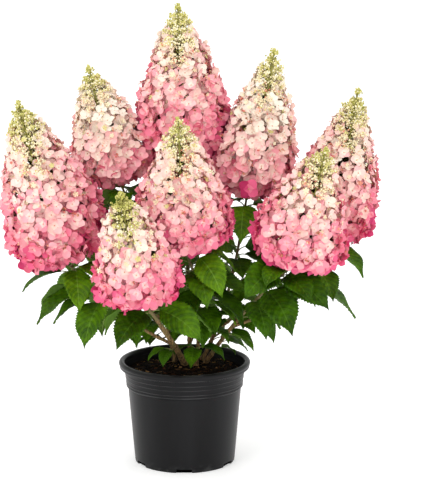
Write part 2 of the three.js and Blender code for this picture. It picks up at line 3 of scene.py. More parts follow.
import bmesh
import bpy
import numpy as np
from mathutils import Matrix, Vector, noise


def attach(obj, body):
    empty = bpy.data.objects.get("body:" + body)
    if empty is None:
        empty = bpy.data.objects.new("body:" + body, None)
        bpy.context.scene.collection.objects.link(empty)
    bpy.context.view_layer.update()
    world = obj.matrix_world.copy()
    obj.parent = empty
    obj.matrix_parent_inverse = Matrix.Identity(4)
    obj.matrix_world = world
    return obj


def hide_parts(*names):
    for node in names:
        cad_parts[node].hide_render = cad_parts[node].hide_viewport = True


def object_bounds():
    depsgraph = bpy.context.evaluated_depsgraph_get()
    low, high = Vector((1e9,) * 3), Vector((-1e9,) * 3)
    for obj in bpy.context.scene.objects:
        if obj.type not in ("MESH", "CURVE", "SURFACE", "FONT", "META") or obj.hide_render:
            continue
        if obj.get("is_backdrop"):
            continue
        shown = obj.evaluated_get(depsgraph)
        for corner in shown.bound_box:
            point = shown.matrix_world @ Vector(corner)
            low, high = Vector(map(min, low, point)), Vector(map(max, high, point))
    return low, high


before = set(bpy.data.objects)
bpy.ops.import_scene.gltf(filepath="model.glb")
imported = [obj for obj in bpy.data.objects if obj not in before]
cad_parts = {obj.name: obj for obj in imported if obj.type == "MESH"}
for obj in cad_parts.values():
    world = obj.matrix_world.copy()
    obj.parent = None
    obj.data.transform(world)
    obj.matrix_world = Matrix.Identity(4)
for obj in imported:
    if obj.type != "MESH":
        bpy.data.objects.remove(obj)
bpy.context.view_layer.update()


# The pot is a four litre nursery container, injection moulded in black polypropylene with a satin skin.
# Its lip is rolled over to stiffen the mouth, a wider band below the lip keeps stacked pots from
# jamming, slim beads run round the band, and six notches in the foot let water run out.
MM = 0.001
POT_STEPS, POT_CORNER = 168, 32
FOOT_RADIUS, WALL_TOP_RADIUS, WALL_TOP_Z = 80, 90.5, 122
WALL_THICKNESS, FLOOR_Z, FOOT_ROUND = 2.5, 9, 2
LIP_CENTRE, LIP_WIDTH, LIP_HEIGHT = (100.4, 161), 4.6, 4
BAND_FOOT, BAND_TOP = (92.5, 124), (96.5, 152)
BEADS = ((125.2, 1.5, 0.8), (130, 1.2, 0.6), (138, 0.9, 0.35), (145, 1, 0.4))
# Heights and half widths of painted highlight lines along the lip's lower and upper edges.
LIP_PAINTED_HIGHLIGHTS = ((155.4, 1.1, 0), (164.2, 1.2, 0))
NOTCH_COUNT, NOTCH_WIDTH, NOTCH_DEPTH, NOTCH_HEIGHT, NOTCH_ROUND = 6, 25, 10, 6.2, 1.2


class Wire:
    """One socket of a material. Sums on it add Math nodes, and node() adds any other kind."""

    def __init__(self, tree, socket):
        self.tree, self.socket = tree, socket

    def node(self, kind, settings, values, output=0):
        """An output of a new node, with its settings made and its inputs set or wired up."""
        made = self.tree.nodes.new("ShaderNode" + kind)
        for name, value in settings.items():
            setattr(made, name, value)
        for name, value in values.items():
            if isinstance(value, Wire):
                self.tree.links.new(value.socket, made.inputs[name])
            else:
                made.inputs[name].default_value = value
        return Wire(self.tree, made.outputs[output])

    def worked(self, operation, first, second=0.0):
        return self.node("Math", {"operation": operation}, {0: first, 1: second})

    def __add__(self, other):
        return self.worked("ADD", self, other)

    def __sub__(self, other):
        return self.worked("SUBTRACT", self, other)

    def __rsub__(self, other):
        return self.worked("SUBTRACT", other, self)

    def __mul__(self, other):
        return self.worked("MULTIPLY", self, other)

    def __pow__(self, other):
        return self.worked("POWER", self, other)

    def __abs__(self):
        return self.worked("ABSOLUTE", self)

    __radd__ = __add__
    __rmul__ = __mul__

    def rise(self, low, high):
        """0 where the value is at low, 1 at high, and smooth between them."""
        settings = {"interpolation_type": "SMOOTHSTEP"}
        return self.node("MapRange", settings, {"Value": self, "From Min": low, "From Max": high})

    def blend(self, colour, other):
        """A colour that goes to another as this value goes from 0 to 1."""
        return self.node("Mix", {"data_type": "RGBA"}, {0: self, 6: colour, 7: other}, 2)

    def grain(self, scale, detail=3, stretch=(1, 1, 1)):
        """Cloudy noise over the place that this vector gives, from 0 to 1."""
        place = self.node("Mapping", {}, {"Vector": self, "Scale": stretch})
        return self.node("TexNoise", {}, {"Vector": place, "Scale": scale, "Detail": detail})


def new_finish(name, **constants):
    """A material with its plain values set, the place on the piece to draw patterns from, and its shader."""
    material = bpy.data.materials.new(name)
    material.use_nodes = True
    shader = material.node_tree.nodes["Principled BSDF"]
    for socket, value in constants.items():
        shader.inputs[socket.replace("_", " ")].default_value = value
    place = Wire(material.node_tree, None).node("TexCoord", {}, {}, "Object")
    return material, place, shader


def feed(shader, **wires):
    """Wires led into the sockets of a shader."""
    for socket, wire in wires.items():
        wire.tree.links.new(wire.socket, shader.inputs[socket.replace("_", " ")])


def bumped(height, strength, distance):
    """Normals roughened by a height."""
    return height.node("Bump", {}, {"Height": height, "Strength": strength, "Distance": distance})


def arc(centre, wide, high, start, end, steps):
    """Points along an elliptical arc between two angles in degrees."""
    angles = np.radians(np.linspace(start, end, steps + 1))
    return [(centre[0] + wide * math.cos(a), centre[1] + high * math.sin(a)) for a in angles]


def spun(profile, steps):
    """A bmesh turned from a profile of (radius, height) points in millimetres."""
    turning = bmesh.new()
    points = [turning.verts.new((radius * MM, 0, height * MM)) for radius, height in profile]
    edges = [turning.edges.new(pair) for pair in zip(points, points[1:])]
    bmesh.ops.spin(turning, geom=points + edges, cent=(0, 0, 0), axis=(0, 0, 1), angle=math.tau,
                   steps=steps, use_merge=True)
    bmesh.ops.remove_doubles(turning, verts=turning.verts, dist=1e-6)
    bmesh.ops.recalc_face_normals(turning, faces=turning.faces)
    return turning


def in_scene(mesh, finishes):
    """A mesh as an object of the scene, of the same name, with its materials."""
    for material in finishes:
        mesh.materials.append(material)
    piece = bpy.data.objects.new(mesh.name, mesh)
    bpy.context.scene.collection.objects.link(piece)
    return piece


def new_piece(name, making, finishes, smooth_under=40):
    """A piece of the model from a bmesh, shaded smooth except at corners sharper than an angle."""
    mesh = bpy.data.meshes.new(name)
    making.to_mesh(mesh)
    making.free()
    mesh.polygons.foreach_set("use_smooth", [True] * len(mesh.polygons))
    mesh.set_sharp_from_angle(angle=math.radians(smooth_under))
    return in_scene(mesh, finishes)


def wall_radius(height):
    """Radius of the tapered wall at a height."""
    return FOOT_RADIUS + (WALL_TOP_RADIUS - FOOT_RADIUS) * height / WALL_TOP_Z


def band_radius(height):
    """Radius of the band below the lip at a height."""
    share = (height - BAND_FOOT[1]) / (BAND_TOP[1] - BAND_FOOT[1])
    return BAND_FOOT[0] + (BAND_TOP[0] - BAND_FOOT[0]) * share


foot_corner = arc((FOOT_RADIUS - FOOT_ROUND, FOOT_ROUND), FOOT_ROUND, FOOT_ROUND, -90, 0, 4)
pot_profile = [(0, 0), (60, 0), *foot_corner]
pot_profile += [(wall_radius(z), z) for z in range(20, 121, 20)]
pot_profile += [(WALL_TOP_RADIUS, WALL_TOP_Z), (91.4, 122.9)]
for middle, half, out in BEADS:
    for a in np.radians(range(0, 181, 30)):
        z = middle - half * math.cos(a)
        pot_profile.append((band_radius(z) + out * math.sin(a), z))
pot_profile += [BAND_TOP, (97.3, 153.4), (102.4, 154), (103.6, 154.5), (103.9, 155.6), (103.7, 157.2)]
pot_profile += arc(LIP_CENTRE, LIP_WIDTH, LIP_HEIGHT, -40, 176, 20)
pot_profile += [(95.6, 156), (95.1, 151), (93, 143), (90.4, 133), (88, 124), (87.5, 118)]   # the inside
pot_profile += [(77.5, FLOOR_Z + 0.5), (76.8, FLOOR_Z), (0, FLOOR_Z)]
pot_making = spun(pot_profile, POT_STEPS)
notches = bmesh.new()
for notch in range(NOTCH_COUNT):
    turn = Matrix.Rotation(math.tau * notch / NOTCH_COUNT, 4, "Z")
    shift = Matrix.Translation((0, -FOOT_RADIUS * MM, 0))
    size = Matrix.Diagonal((NOTCH_WIDTH * MM, NOTCH_DEPTH * MM, 2 * NOTCH_HEIGHT * MM, 1))
    bmesh.ops.create_cube(notches, size=1, matrix=turn @ shift @ size)
bmesh.ops.bevel(notches, geom=notches.edges[:], offset=NOTCH_ROUND * MM, affect="EDGES", segments=2,
                profile=0.5, material=-1)

pot_black, place, shader = new_finish("pot_black", Specular_IOR_Level=0.16)
streaks = place.grain(22, 4, (1, 1, 0.12))
scuffs = place.grain(160, 5, (1, 1, 0.3)).rise(0.62, 0.78)
height = place.node("SeparateXYZ", {}, {"Vector": place}, "Z")
dust = (1 - height.rise(0.001, 0.016)) * place.grain(90, 4).rise(0.45, 0.7)
black = streaks.rise(0.3, 0.75).blend((0.004, 0.004, 0.0045, 1), (0.008, 0.008, 0.009, 1))
# Faint random scuffs are real wear; the lighter lines on the bead tops and lip edges are painted highlights.
scuffs_and_painted_highlights = scuffs * 0.05
for middle, half, _ in (*BEADS, *LIP_PAINTED_HIGHLIGHTS):
    below = height.rise((middle - half) * MM, middle * MM)
    above = height.rise(middle * MM, (middle + half) * MM)
    scuffs_and_painted_highlights += (below - above) * 0.4
scuffs_and_painted_highlights = scuffs_and_painted_highlights * place.grain(26, 3, (1, 1, 0.3)).rise(0.3, 0.7)
feed(shader, Base_Color=(dust * 0.25 + scuffs_and_painted_highlights).blend(black, (0.1, 0.1, 0.1, 1)),
     Roughness=0.33 + 0.08 * streaks + 0.12 * scuffs + 0.2 * dust,
     Normal=bumped(place.grain(1500, 2) + 1.5 * streaks, 0.16, 0.0003))

# Painted shade: the faces inside the foot notches are painted near black, as the shade in these recesses.
notch_painted_shade = new_finish("notch_painted_shade", Base_Color=(0.001, 0.001, 0.001, 1), Roughness=0.9,
                         Specular_IOR_Level=0.02)[0]
pot = new_piece("pot_body", pot_making, [pot_black, notch_painted_shade], POT_CORNER)
cutter = new_piece("notch_cutter", notches, [pot_black])
carving = pot.modifiers.new("notches", "BOOLEAN")
carving.object, carving.operation, carving.solver = cutter, "DIFFERENCE", "EXACT"
carved = bpy.data.meshes.new_from_object(pot.evaluated_get(bpy.context.evaluated_depsgraph_get()))
pot.modifiers.clear()
pot.data = carved
# Faces inside the notches take the painted shade.
for face in carved.polygons:
    in_notch = math.hypot(face.center.x, face.center.y) < (FOOT_RADIUS - WALL_THICKNESS) * MM
    if in_notch and face.center.z < NOTCH_HEIGHT * MM:
        face.material_index = 1
carved.set_sharp_from_angle(angle=math.radians(POT_CORNER))
bpy.data.objects.remove(cutter)
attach(pot, "root")
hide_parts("pot")


# The potting mix is moist composted bark and peat, poured in loose and heaped a little round the stems.
# Its surface is a crumbly mound with bark chips, crumbs and pale wood fibres pressed into it.
MIX_EDGE_Z, MIX_TOP_Z, MIX_FLAT, MIX_SLOPE, MIX_RADIUS = 148, 153, 52, 41.8, 93.6
CHIP_COUNT, CRUMB_COUNT, FIBRE_COUNT, STREWN_RADIUS = 540, 1200, 300, 91
CHIP_COLOURS = (
    ("chip_black_brown", (0.003, 0.0018, 0.0012, 1)), ("chip_dark_brown", (0.012, 0.0055, 0.0025, 1)),
    ("chip_red_brown", (0.07, 0.026, 0.008, 1)), ("chip_tan", (0.3, 0.16, 0.06, 1)),
)
CHIP_SHARES = (0.5, 0.36, 0.1, 0.04)
rng = np.random.default_rng(7)


def mix_height(x, y):
    """Height of the mix at a place, in millimetres."""
    out = math.hypot(x, y)
    mound = MIX_TOP_Z - (MIX_TOP_Z - MIX_EDGE_Z) * max(0, out - MIX_FLAT) / MIX_SLOPE
    coarse = noise.noise(Vector((x, y, 3)) / 16) * 2.2
    fine = noise.noise(Vector((x, y, 9)) / 4.5) * 1.5 + noise.noise(Vector((x, y, 21)) / 1.9) * 0.7
    return mound + (coarse + fine) * min(1, (95 - out) / 12) - 0.8


mix_profile = [(r, MIX_TOP_Z) for r in np.linspace(0, MIX_RADIUS, 64)] + [(91.8, 140), (0, 140)]
mix_making = spun(mix_profile, 200)
for vertex in mix_making.verts:
    if vertex.co.z > MIX_EDGE_Z * MM:
        vertex.co.z = mix_height(vertex.co.x / MM, vertex.co.y / MM) * MM

mix_brown, place, shader = new_finish("mix_brown", Specular_IOR_Level=0.1)
clods = place.grain(240, 6)
feed(shader, Base_Color=clods.rise(0.35, 0.72).blend((0.002, 0.0012, 0.0008, 1), (0.014, 0.0065, 0.0026, 1)),
     Roughness=0.8 + 0.18 * clods, Normal=bumped(place.grain(900, 6) + clods, 0.9, 0.0012))
mix = new_piece("mix_surface", mix_making, [mix_brown], 60)
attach(mix, "root")
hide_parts("potting_mix")


def shape_of(making):
    """A small shape as arrays: corners, loops, corners to a face, look of a face, and a flat map if any."""
    making.verts.ensure_lookup_table()
    making.verts.index_update()
    flat = making.loops.layers.uv.active
    shape = {
        "corners": np.array([v.co[:] for v in making.verts]),
        "loops": np.array([loop.vert.index for face in making.faces for loop in face.loops]),
        "sizes": np.array([len(face.verts) for face in making.faces]),
        "looks": np.array([face.material_index for face in making.faces]),
    }
    if flat:
        shape["flat"] = np.array([loop[flat].uv[:] for face in making.faces for loop in face.loops])
    making.free()
    return shape


class Bundle:
    """Copies of small shapes, placed in millimetres and joined into one piece."""

    def __init__(self):
        self.parts, self.count = [], 0

    def add(self, shape, copies, looks=None):
        """Copies of a shape by their corners, each face with its own look or all with those given."""
        copies = np.asarray(copies, float).reshape(-1, len(shape["corners"]), 3)
        amount, size = len(copies), len(shape["corners"])
        starts = self.count + size * np.arange(amount)[:, None]
        if looks is None:
            looks = np.tile(shape["looks"], (amount, 1))
        looks = np.broadcast_to(np.asarray(looks), (amount, len(shape["sizes"])))
        flat = np.tile(shape["flat"], (amount, 1)) if "flat" in shape else np.zeros((0, 2))
        loops, sizes = (shape["loops"] + starts).ravel(), np.tile(shape["sizes"], amount)
        self.parts.append((copies.reshape(-1, 3), loops, sizes, looks.ravel(), flat))
        self.count += amount * size

    def joined(self, name, finishes, slot, stands_for=(), smooth=True):
        """All copies as one piece, whose looks pick from the finishes."""
        corners, loops, sizes, looks, flat = (np.concatenate(kind) for kind in zip(*self.parts))
        mesh = bpy.data.meshes.new(name)
        mesh.vertices.add(len(corners))
        mesh.vertices.foreach_set("co", (corners * MM).astype(np.float32).ravel())
        mesh.loops.add(len(loops))
        mesh.loops.foreach_set("vertex_index", loops.astype(np.int32))
        mesh.polygons.add(len(sizes))
        mesh.polygons.foreach_set("loop_start", np.concatenate(([0], np.cumsum(sizes)[:-1])).astype(np.int32))
        mesh.polygons.foreach_set("material_index", looks.astype(np.int32))
        mesh.polygons.foreach_set("use_smooth", np.full(len(sizes), smooth))
        if len(flat):
            mesh.uv_layers.new(name="blade").data.foreach_set("uv", flat.astype(np.float32).ravel())
        mesh.update(calc_edges=True)
        piece = in_scene(mesh, finishes)
        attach(piece, "root")
        if stands_for:
            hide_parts(*stands_for)


def unit_rows(rows):
    """Vectors, each brought to length 1."""
    return rows / np.linalg.norm(rows, axis=-1, keepdims=True)


def frames_on(normals, spins):
    """Two directions across each of many normals, turned about it by a spin."""
    helper = np.where(np.abs(normals[:, 2:]) > 0.9, [[1.0, 0, 0]], [[0, 0, 1.0]])
    across = unit_rows(np.cross(helper, normals))
    beside = np.cross(normals, across)
    cos, sin = np.cos(spins)[:, None], np.sin(spins)[:, None]
    return across * cos + beside * sin, beside * cos - across * sin


def placed(shape, centres, normals, spins, sizes):
    """Copies of a shape with its Z along each normal. A size may be one number or three."""
    across, beside = frames_on(normals, spins)
    axes = np.stack((across, beside, normals), 1)
    sizes = np.asarray(sizes, float).reshape(len(centres), 1, -1)
    return centres[:, None] + np.einsum("knj,kji->kni", shape["corners"][None] * sizes, axes)


def random_normals(count, tilt):
    """Upright directions, each tipped by up to a tilt in degrees."""
    turn = rng.uniform(0, math.tau, count)
    tip = np.radians(tilt) * np.sqrt(rng.uniform(0, 1, count))
    return np.stack((np.sin(tip) * np.cos(turn), np.sin(tip) * np.sin(turn), np.cos(tip)), 1)


def scattered(count, widest):
    """Places strewn evenly on the mix, in millimetres."""
    out, turn = widest * np.sqrt(rng.uniform(0, 1, count)), rng.uniform(0, math.tau, count)
    places = np.stack((out * np.cos(turn), out * np.sin(turn), np.zeros(count)), 1)
    places[:, 2] = [mix_height(x, y) for x, y, _ in places]
    return places


chips = Bundle()
for variant in range(3):
    making = bmesh.new()
    bmesh.ops.create_icosphere(making, subdivisions=1, radius=0.5)
    for vertex in making.verts:
        vertex.co *= 0.75 + 0.5 * rng.uniform()
    chip = shape_of(making)
    for count, low, high, thick in ((CHIP_COUNT // 3, 3, 9, 0.3), (CRUMB_COUNT // 3, 1.2, 3.5, 0.6)):
        long = rng.uniform(low, high, count)
        wide, deep = long * rng.uniform(0.35, 0.7, count), long * thick * rng.uniform(0.7, 1.3, count)
        strewn, turns = scattered(count, STREWN_RADIUS), rng.uniform(0, math.tau, count)
        copies = placed(chip, strewn, random_normals(count, 40), turns, np.stack((long, wide, deep), 1))
        chips.add(chip, copies, rng.choice(4, count, p=CHIP_SHARES)[:, None])
making = bmesh.new()
bmesh.ops.create_cone(making, cap_ends=True, segments=4, radius1=0.5, radius2=0.3, depth=1,
                      matrix=Matrix.Rotation(math.pi / 2, 4, "Y"))
fibre = shape_of(making)
long = rng.uniform(6, 16, FIBRE_COUNT)
sizes = np.stack((long, rng.uniform(0.5, 1.1, FIBRE_COUNT), rng.uniform(0.5, 0.9, FIBRE_COUNT)), 1)
strewn = scattered(FIBRE_COUNT, STREWN_RADIUS - 3) + (0, 0, 0.6)
turns = rng.uniform(0, math.tau, FIBRE_COUNT)
chips.add(fibre, placed(fibre, strewn, random_normals(FIBRE_COUNT, 22), turns, sizes),
          rng.choice((1, 2, 3), FIBRE_COUNT, p=(0.45, 0.35, 0.2))[:, None])
chip_finishes = []
for name, colour in CHIP_COLOURS:
    material, place, shader = new_finish(name, Base_Color=colour, Roughness=0.85, Specular_IOR_Level=0.15)
    feed(shader, Normal=bumped(place.grain(800, 4, (1, 1, 2)), 0.6, 0.0008))
    chip_finishes.append(material)
chips.joined("bark_chips", chip_finishes, "mix", smooth=False)


# Eleven canes carry the plant: six stems that rise from the mix and five boughs that branch off them.
# They are ripe wood with a thin ridged bark, corky pores and a swollen joint at each old leaf pair,
# and each one grows on as a greener shoot up to the foot of its flower head.
MIX_AIR, STALK = 0.3, 9
STEM_RADIUS, BOUGH_RADIUS, BACK_BOUGH_RADIUS, TIP_RADIUS = 4.2, 3.3, 2.97, 2.2
BARK_SHARE, FIRST_JOINT, JOINT_SPACING = 0.84, 10, 44
CANES = (
    # name, foot or (parent, share), base, tip and radius of the head, elbow, radius, leafy from, turn
    ("front_left", (1, 14), (-59, -165, 300), (-92, -190, 470), 69,
     (-42, -100, 262), 1.5 * STEM_RADIUS, 0.6, 255),
    ("front", (18, 12), (3, -85, 366), (-7, -105, 570), 77,
     (34, -35, 285), STEM_RADIUS, 0.4, 160),
    ("front_right", (33, 22), (167, -90, 343), (217, -115, 525), 75,
     (88, -45, 256), 1.1 * STEM_RADIUS, 0.48, 240),
    ("top", (8, 38), (0, 60, 476), (-10, 77, 726), 80,
     (7, 40, 280), 1.1 * STEM_RADIUS, 0.42, 20),
    ("upper_left", (-16, 30), (-101, 48, 443), (-153, 73, 627), 67,
     (-40, 25, 290), STEM_RADIUS, 0.42, 250),
    ("upper_right", (27, 42), (100, 35, 427), (143, 55, 657), 69,
     (73, 27, 238), STEM_RADIUS, 0.42, 290),
    ("left", ("front_left", 0.22), (-184, -20, 334), (-256, -40, 586), 82,
     (-117, -40, 246), BOUGH_RADIUS, 0.4, 265),
    ("right", ("front_right", 0.36), (226, 42, 356), (276, 52, 594), 72,
     (200, -5, 262), BOUGH_RADIUS, 0.5, 20),
    ("back", ("top", 0.2), (0, 190, 321), (-7, 215, 512), 58,
     (3, 110, 260), BACK_BOUGH_RADIUS, 0.42, 90),
    ("back_left", ("upper_left", 0.25), (-175, 150, 321), (-225, 185, 491), 52,
     (-115, 85, 255), BACK_BOUGH_RADIUS, 0.42, 120),
    ("back_right", ("upper_right", 0.25), (190, 165, 309), (226, 200, 489), 58,
     (130, 95, 250), BACK_BOUGH_RADIUS, 0.42, 60),
)


class Cane:
    """A limb, its shoot and the outline of its flower head, in millimetres."""

    def __init__(self, name, foot, base, tip, radius, elbow, thick, leafy, turn):
        self.name, self.radius, self.thick, self.leafy, self.turn = name, radius, thick, leafy, turn
        self.base, self.tip = np.array(base, float), np.array(tip, float)
        self.length = np.linalg.norm(self.tip - self.base)
        self.axis = (self.tip - self.base) / self.length
        self.branches_off = isinstance(foot[0], str)
        start = canes[foot[0]].point(foot[1]) if self.branches_off else (*foot, MIX_TOP_Z + MIX_AIR)
        self.bend = np.array((start, elbow, self.base - self.axis * STALK), float)
        steps = np.array([self.point(share) for share in np.linspace(0, 1, 201)])
        self.reach = np.linalg.norm(np.diff(steps, axis=0), axis=1).sum()

    def point(self, share):
        """The middle of the cane at a share of the way along it."""
        start, elbow, end = self.bend
        return (1 - share) ** 2 * start + 2 * (1 - share) * share * elbow + share ** 2 * end

    def ahead(self, share):
        """The direction in which the cane grows at a share."""
        start, elbow, end = self.bend
        way = (1 - share) * (elbow - start) + share * (end - elbow)
        return way / np.linalg.norm(way)

    def wide(self, share):
        """The cane's radius at a share, flared where a stem meets the mix."""
        flare = 0 if self.branches_off else max(0, 1 - share / 0.08) ** 2 * 0.2
        return (self.thick + (TIP_RADIUS - self.thick) * share ** 0.8) * (1 + flare)

    def share_below(self, length):
        """The share that lies a length below the cane's end."""
        return 1 - length / self.reach


canes = {}
for row in CANES:
    canes[row[0]] = Cane(*row)          # a bough finds its parent here


def stick(sides, cuts):
    """A closed round stick of radius 1 from Z 0 to Z 1, cut into rings."""
    making = bmesh.new()
    bmesh.ops.create_cone(making, cap_ends=True, segments=sides, radius1=1, radius2=1, depth=1,
                          matrix=Matrix.Translation((0, 0, 0.5)))
    upright = [edge for edge in making.edges if abs(edge.verts[0].co.z - edge.verts[1].co.z) > 0.5]
    if cuts:
        bmesh.ops.subdivide_edges(making, edges=upright, cuts=cuts)
    return shape_of(making)


def along_cane(cane, shape, first, last, relief):
    """A stick laid along part of a cane, with a relief added to its radius at each share and angle."""
    shares, where = np.unique(np.round(shape["corners"][:, 2], 5), return_inverse=True)
    across, rows = np.array((1.0, 0, 0)), []
    for level in shares:
        share = first + (last - first) * level
        ahead = cane.ahead(share)
        across = across - ahead * across.dot(ahead)
        across /= np.linalg.norm(across)
        rows.append((cane.point(share), across, np.cross(ahead, across), cane.wide(share), share))
    corners = np.empty_like(shape["corners"])
    for i, (x, y, _) in enumerate(shape["corners"]):
        middle, side, beside, wide, share = rows[where[i]]
        size = wide * BARK_SHARE + relief(share, math.atan2(y, x)) if x or y else 0
        corners[i] = middle + size * (side * x + beside * y)
    return corners


def joint_swelling(cane, share):
    """How much a cane swells at the joints where its leaf pairs grow or grew, in millimetres."""
    below = (1 - share) * cane.reach - FIRST_JOINT
    return 0.9 * math.exp(-((below + JOINT_SPACING / 2) % JOINT_SPACING - JOINT_SPACING / 2) ** 2 / 5)


def bark_relief(cane):
    """What ridges, cracks and joints add to a cane's radius, by share and angle."""
    def relief(share, angle):
        along = share * cane.reach
        ridges = noise.noise(Vector((2.2 * math.cos(angle), 2.2 * math.sin(angle), along / 26 + cane.turn)))
        cracks = noise.noise(Vector((5 * math.cos(angle), 5 * math.sin(angle), along / 7 + cane.turn)))
        return 0.1 * cane.thick * (ridges + 0.5 * cracks) + joint_swelling(cane, share)
    return relief


bark, place, shader = new_finish("bark", Specular_IOR_Level=0.35)
fissures = place.grain(420, 6, (1, 1, 0.16))
blotches = place.grain(60, 3)
pores = place.node("TexVoronoi", {}, {"Vector": place, "Scale": 320}, "Distance")
wood = fissures.rise(0.34, 0.66).blend((0.06, 0.034, 0.012, 1), (0.36, 0.22, 0.085, 1))
wood = (blotches.rise(0.45, 0.75) * 0.55).blend(wood, (0.17, 0.155, 0.05, 1))
feed(shader, Base_Color=((1 - pores.rise(0.06, 0.16)) * 0.6).blend(wood, (0.36, 0.26, 0.15, 1)),
     Roughness=0.65 + 0.25 * fissures, Normal=bumped(fissures + 0.4 * blotches, 0.7, 0.0012))

bark_stick = stick(18, 70)
for name, cane in canes.items():
    limb = Bundle()
    limb.add(bark_stick, along_cane(cane, bark_stick, 0, cane.leafy + 0.01, bark_relief(cane)))
    limb.joined(f"bark_{name}", [bark], "bark", [("bough_" if cane.branches_off else "stem_") + name])


# Each cane ends in a leafy shoot: opposite pairs of ovate, toothed leaves on short stalks, each pair a
# quarter turn from the last. The blades are thin, quilted between sunk veins, and arch over from the end
# of the stalk. Smaller leaves grow further down, and short shoots with three leaves low on the stems.
LEAF_LENGTH, INNER_LENGTH, LEAF_STALK, INNER_STALK, LOW_STALK = 90, 70, 20, 18, 12
LEAF_HALF_WIDTH, LEAF_FOLD, LEAF_BEND, STALK_RISE = 0.29, math.radians(14), 49, 0.35
SAMPLES = [(share, side) for share in (0.08, 0.22, 0.36, 0.5, 0.64, 0.78, 0.9, 1)
           for side in (-1, -0.5, 0, 0.5, 1)]
FITTINGS = [(size, lift, swing) for size in (1, 0.85, 0.7) for lift in (0, 16, -14)
            for swing in (0, 8, -8, 16, -16, 28, -28, 42, -42)]
WIDEST, HEAD_CLOSE = 0.82, 1.045
MOUTH_RADIUS, PAST_RIM, OVER_MIX, OVER_RIM_Z = 89, 113, 5, 170
HEAD_GAP, LIMB_GAPS, LEAF_GAPS = 5, (1, 6), (5, 10)          # to the leaf's own limb, to the others
LEAF_VEINS, LEAF_ROWS, LEAF_COLUMNS, BLADE_FOOT, BLADE_RUN = 8, 40, 8, 0.012, 0.98
VEIN_SLANT, VEIN_CURVE, LEAF_TIP, TOOTH_DIP, TOOTH_TIP = 0.27, 1.3, 0.42, 0.92, 1.05
FRONT_LEAVES = {
    # for each cane: how far along it, heading, pitch and roll in degrees, blade length, stalk length
    "front_left": ((0.7, 236, -4, -20, 90, 20), (0.77, 328, -4, 45, 89, 16)),
    "front": ((0.42, 291, -1, 5, 71, 15), (0.59, 57, -8, 60, 69, 16), (0.65, 110, -29, 5, 66, 23),
              (0.92, 103, -20, 20, 61, 21), (0.9, 305, -16, 35, 84, 28)),
    "front_right": ((0.5, 335, -30, 20, 62, 18), (0.71, 130, -13, -60, 76, 18),
                    (0.72, 296, -9, 25, 102, 17), (0.84, 324, 0, 40, 96, 18), (0.93, 233, 4, -40, 91, 20)),
    "upper_left": ((0.93, 122, -16, 35, 70, 30), (0.9, 72, -5, -20, 76, 18), (0.5, 290, -10, 20, 66, 18),
                   (0.68, 240, -5, -30, 70, 18)),
    "upper_right": ((0.7, 278, 7, 0, 67, 18), (0.75, 43, -6, 60, 76, 18), (0.77, 234, 28, -55, 72, 19),
                    (0.96, 265, -14, -5, 82, 26), (0.93, 62, -8, 50, 66, 36), (0.4, 300, -5, 30, 66, 18),
                    (0.56, 240, -5, -40, 66, 18)),
    "left": ((0.49, 115, -34, -5, 79, 25), (0.55, 174, -12, -15, 76, 34), (0.58, 247, -23, 0, 89, 26),
             (0.69, 208, -5, 0, 97, 22), (0.84, 165, -5, -10, 80, 36), (0.92, 278, -20, -5, 81, 17)),
    "right": ((0.93, 324, -16, 0, 71, 27),),
    "top": ((0.3, 250, -10, -35, 66, 18), (0.45, 300, -5, 40, 70, 18), (0.56, 235, -5, -40, 70, 18)),
}
INNER_LEAVES_ON = ("front", "top", "upper_left", "upper_right", "front_right", "back")
LOW_SHOOTS = (
    # name, stem, how far along it, heading, reach, rise, size of its leaves
    ("front", "front", 0.1, 262, 26, 9, 0.5), ("front_left", "front_left", 0.2, 250, 14, -4, 0.42),
    ("front_right", "front_right", 0.1, 290, 18, 8, 0.42), ("left", "upper_left", 0.3, 228, 22, -2, 0.62),
    ("right", "upper_right", 0.3, 318, 24, 14, 0.58), ("back_left", "upper_left", 0.12, 150, 34, 34, 0.7),
    ("back_right", "top", 0.1, 60, 34, 30, 0.7), ("middle", "top", 0.16, 275, 20, 12, 0.52),
    ("far_left", "upper_left", 0.16, 235, 26, -2, 0.5), ("far_right", "upper_right", 0.2, 335, 20, 14, 0.6),
)


def seeded(seed):
    """Repeatable random numbers from 0 to 1, by a linear congruential generator."""
    state = seed * 7919 + 12345
    while True:
        state = (state * 1664525 + 1013904223) % 4294967296
        yield state / 4294967296


def spread(draw, degrees):
    """A chance turn of up to half of the degrees either way."""
    return degrees * (next(draw) - 0.5)


def level_way(heading):
    """The level direction at a heading, in radians from the plant's right."""
    return np.array((math.cos(heading), math.sin(heading), 0))


def leaf_outline(share):
    """Half width of a blade at shares of its length, 1 at its widest."""
    rise, fall = 0.65, 1.05
    widest = rise / (rise + fall)
    return share ** rise * (1 - share) ** fall / (widest ** rise * (1 - widest) ** fall)


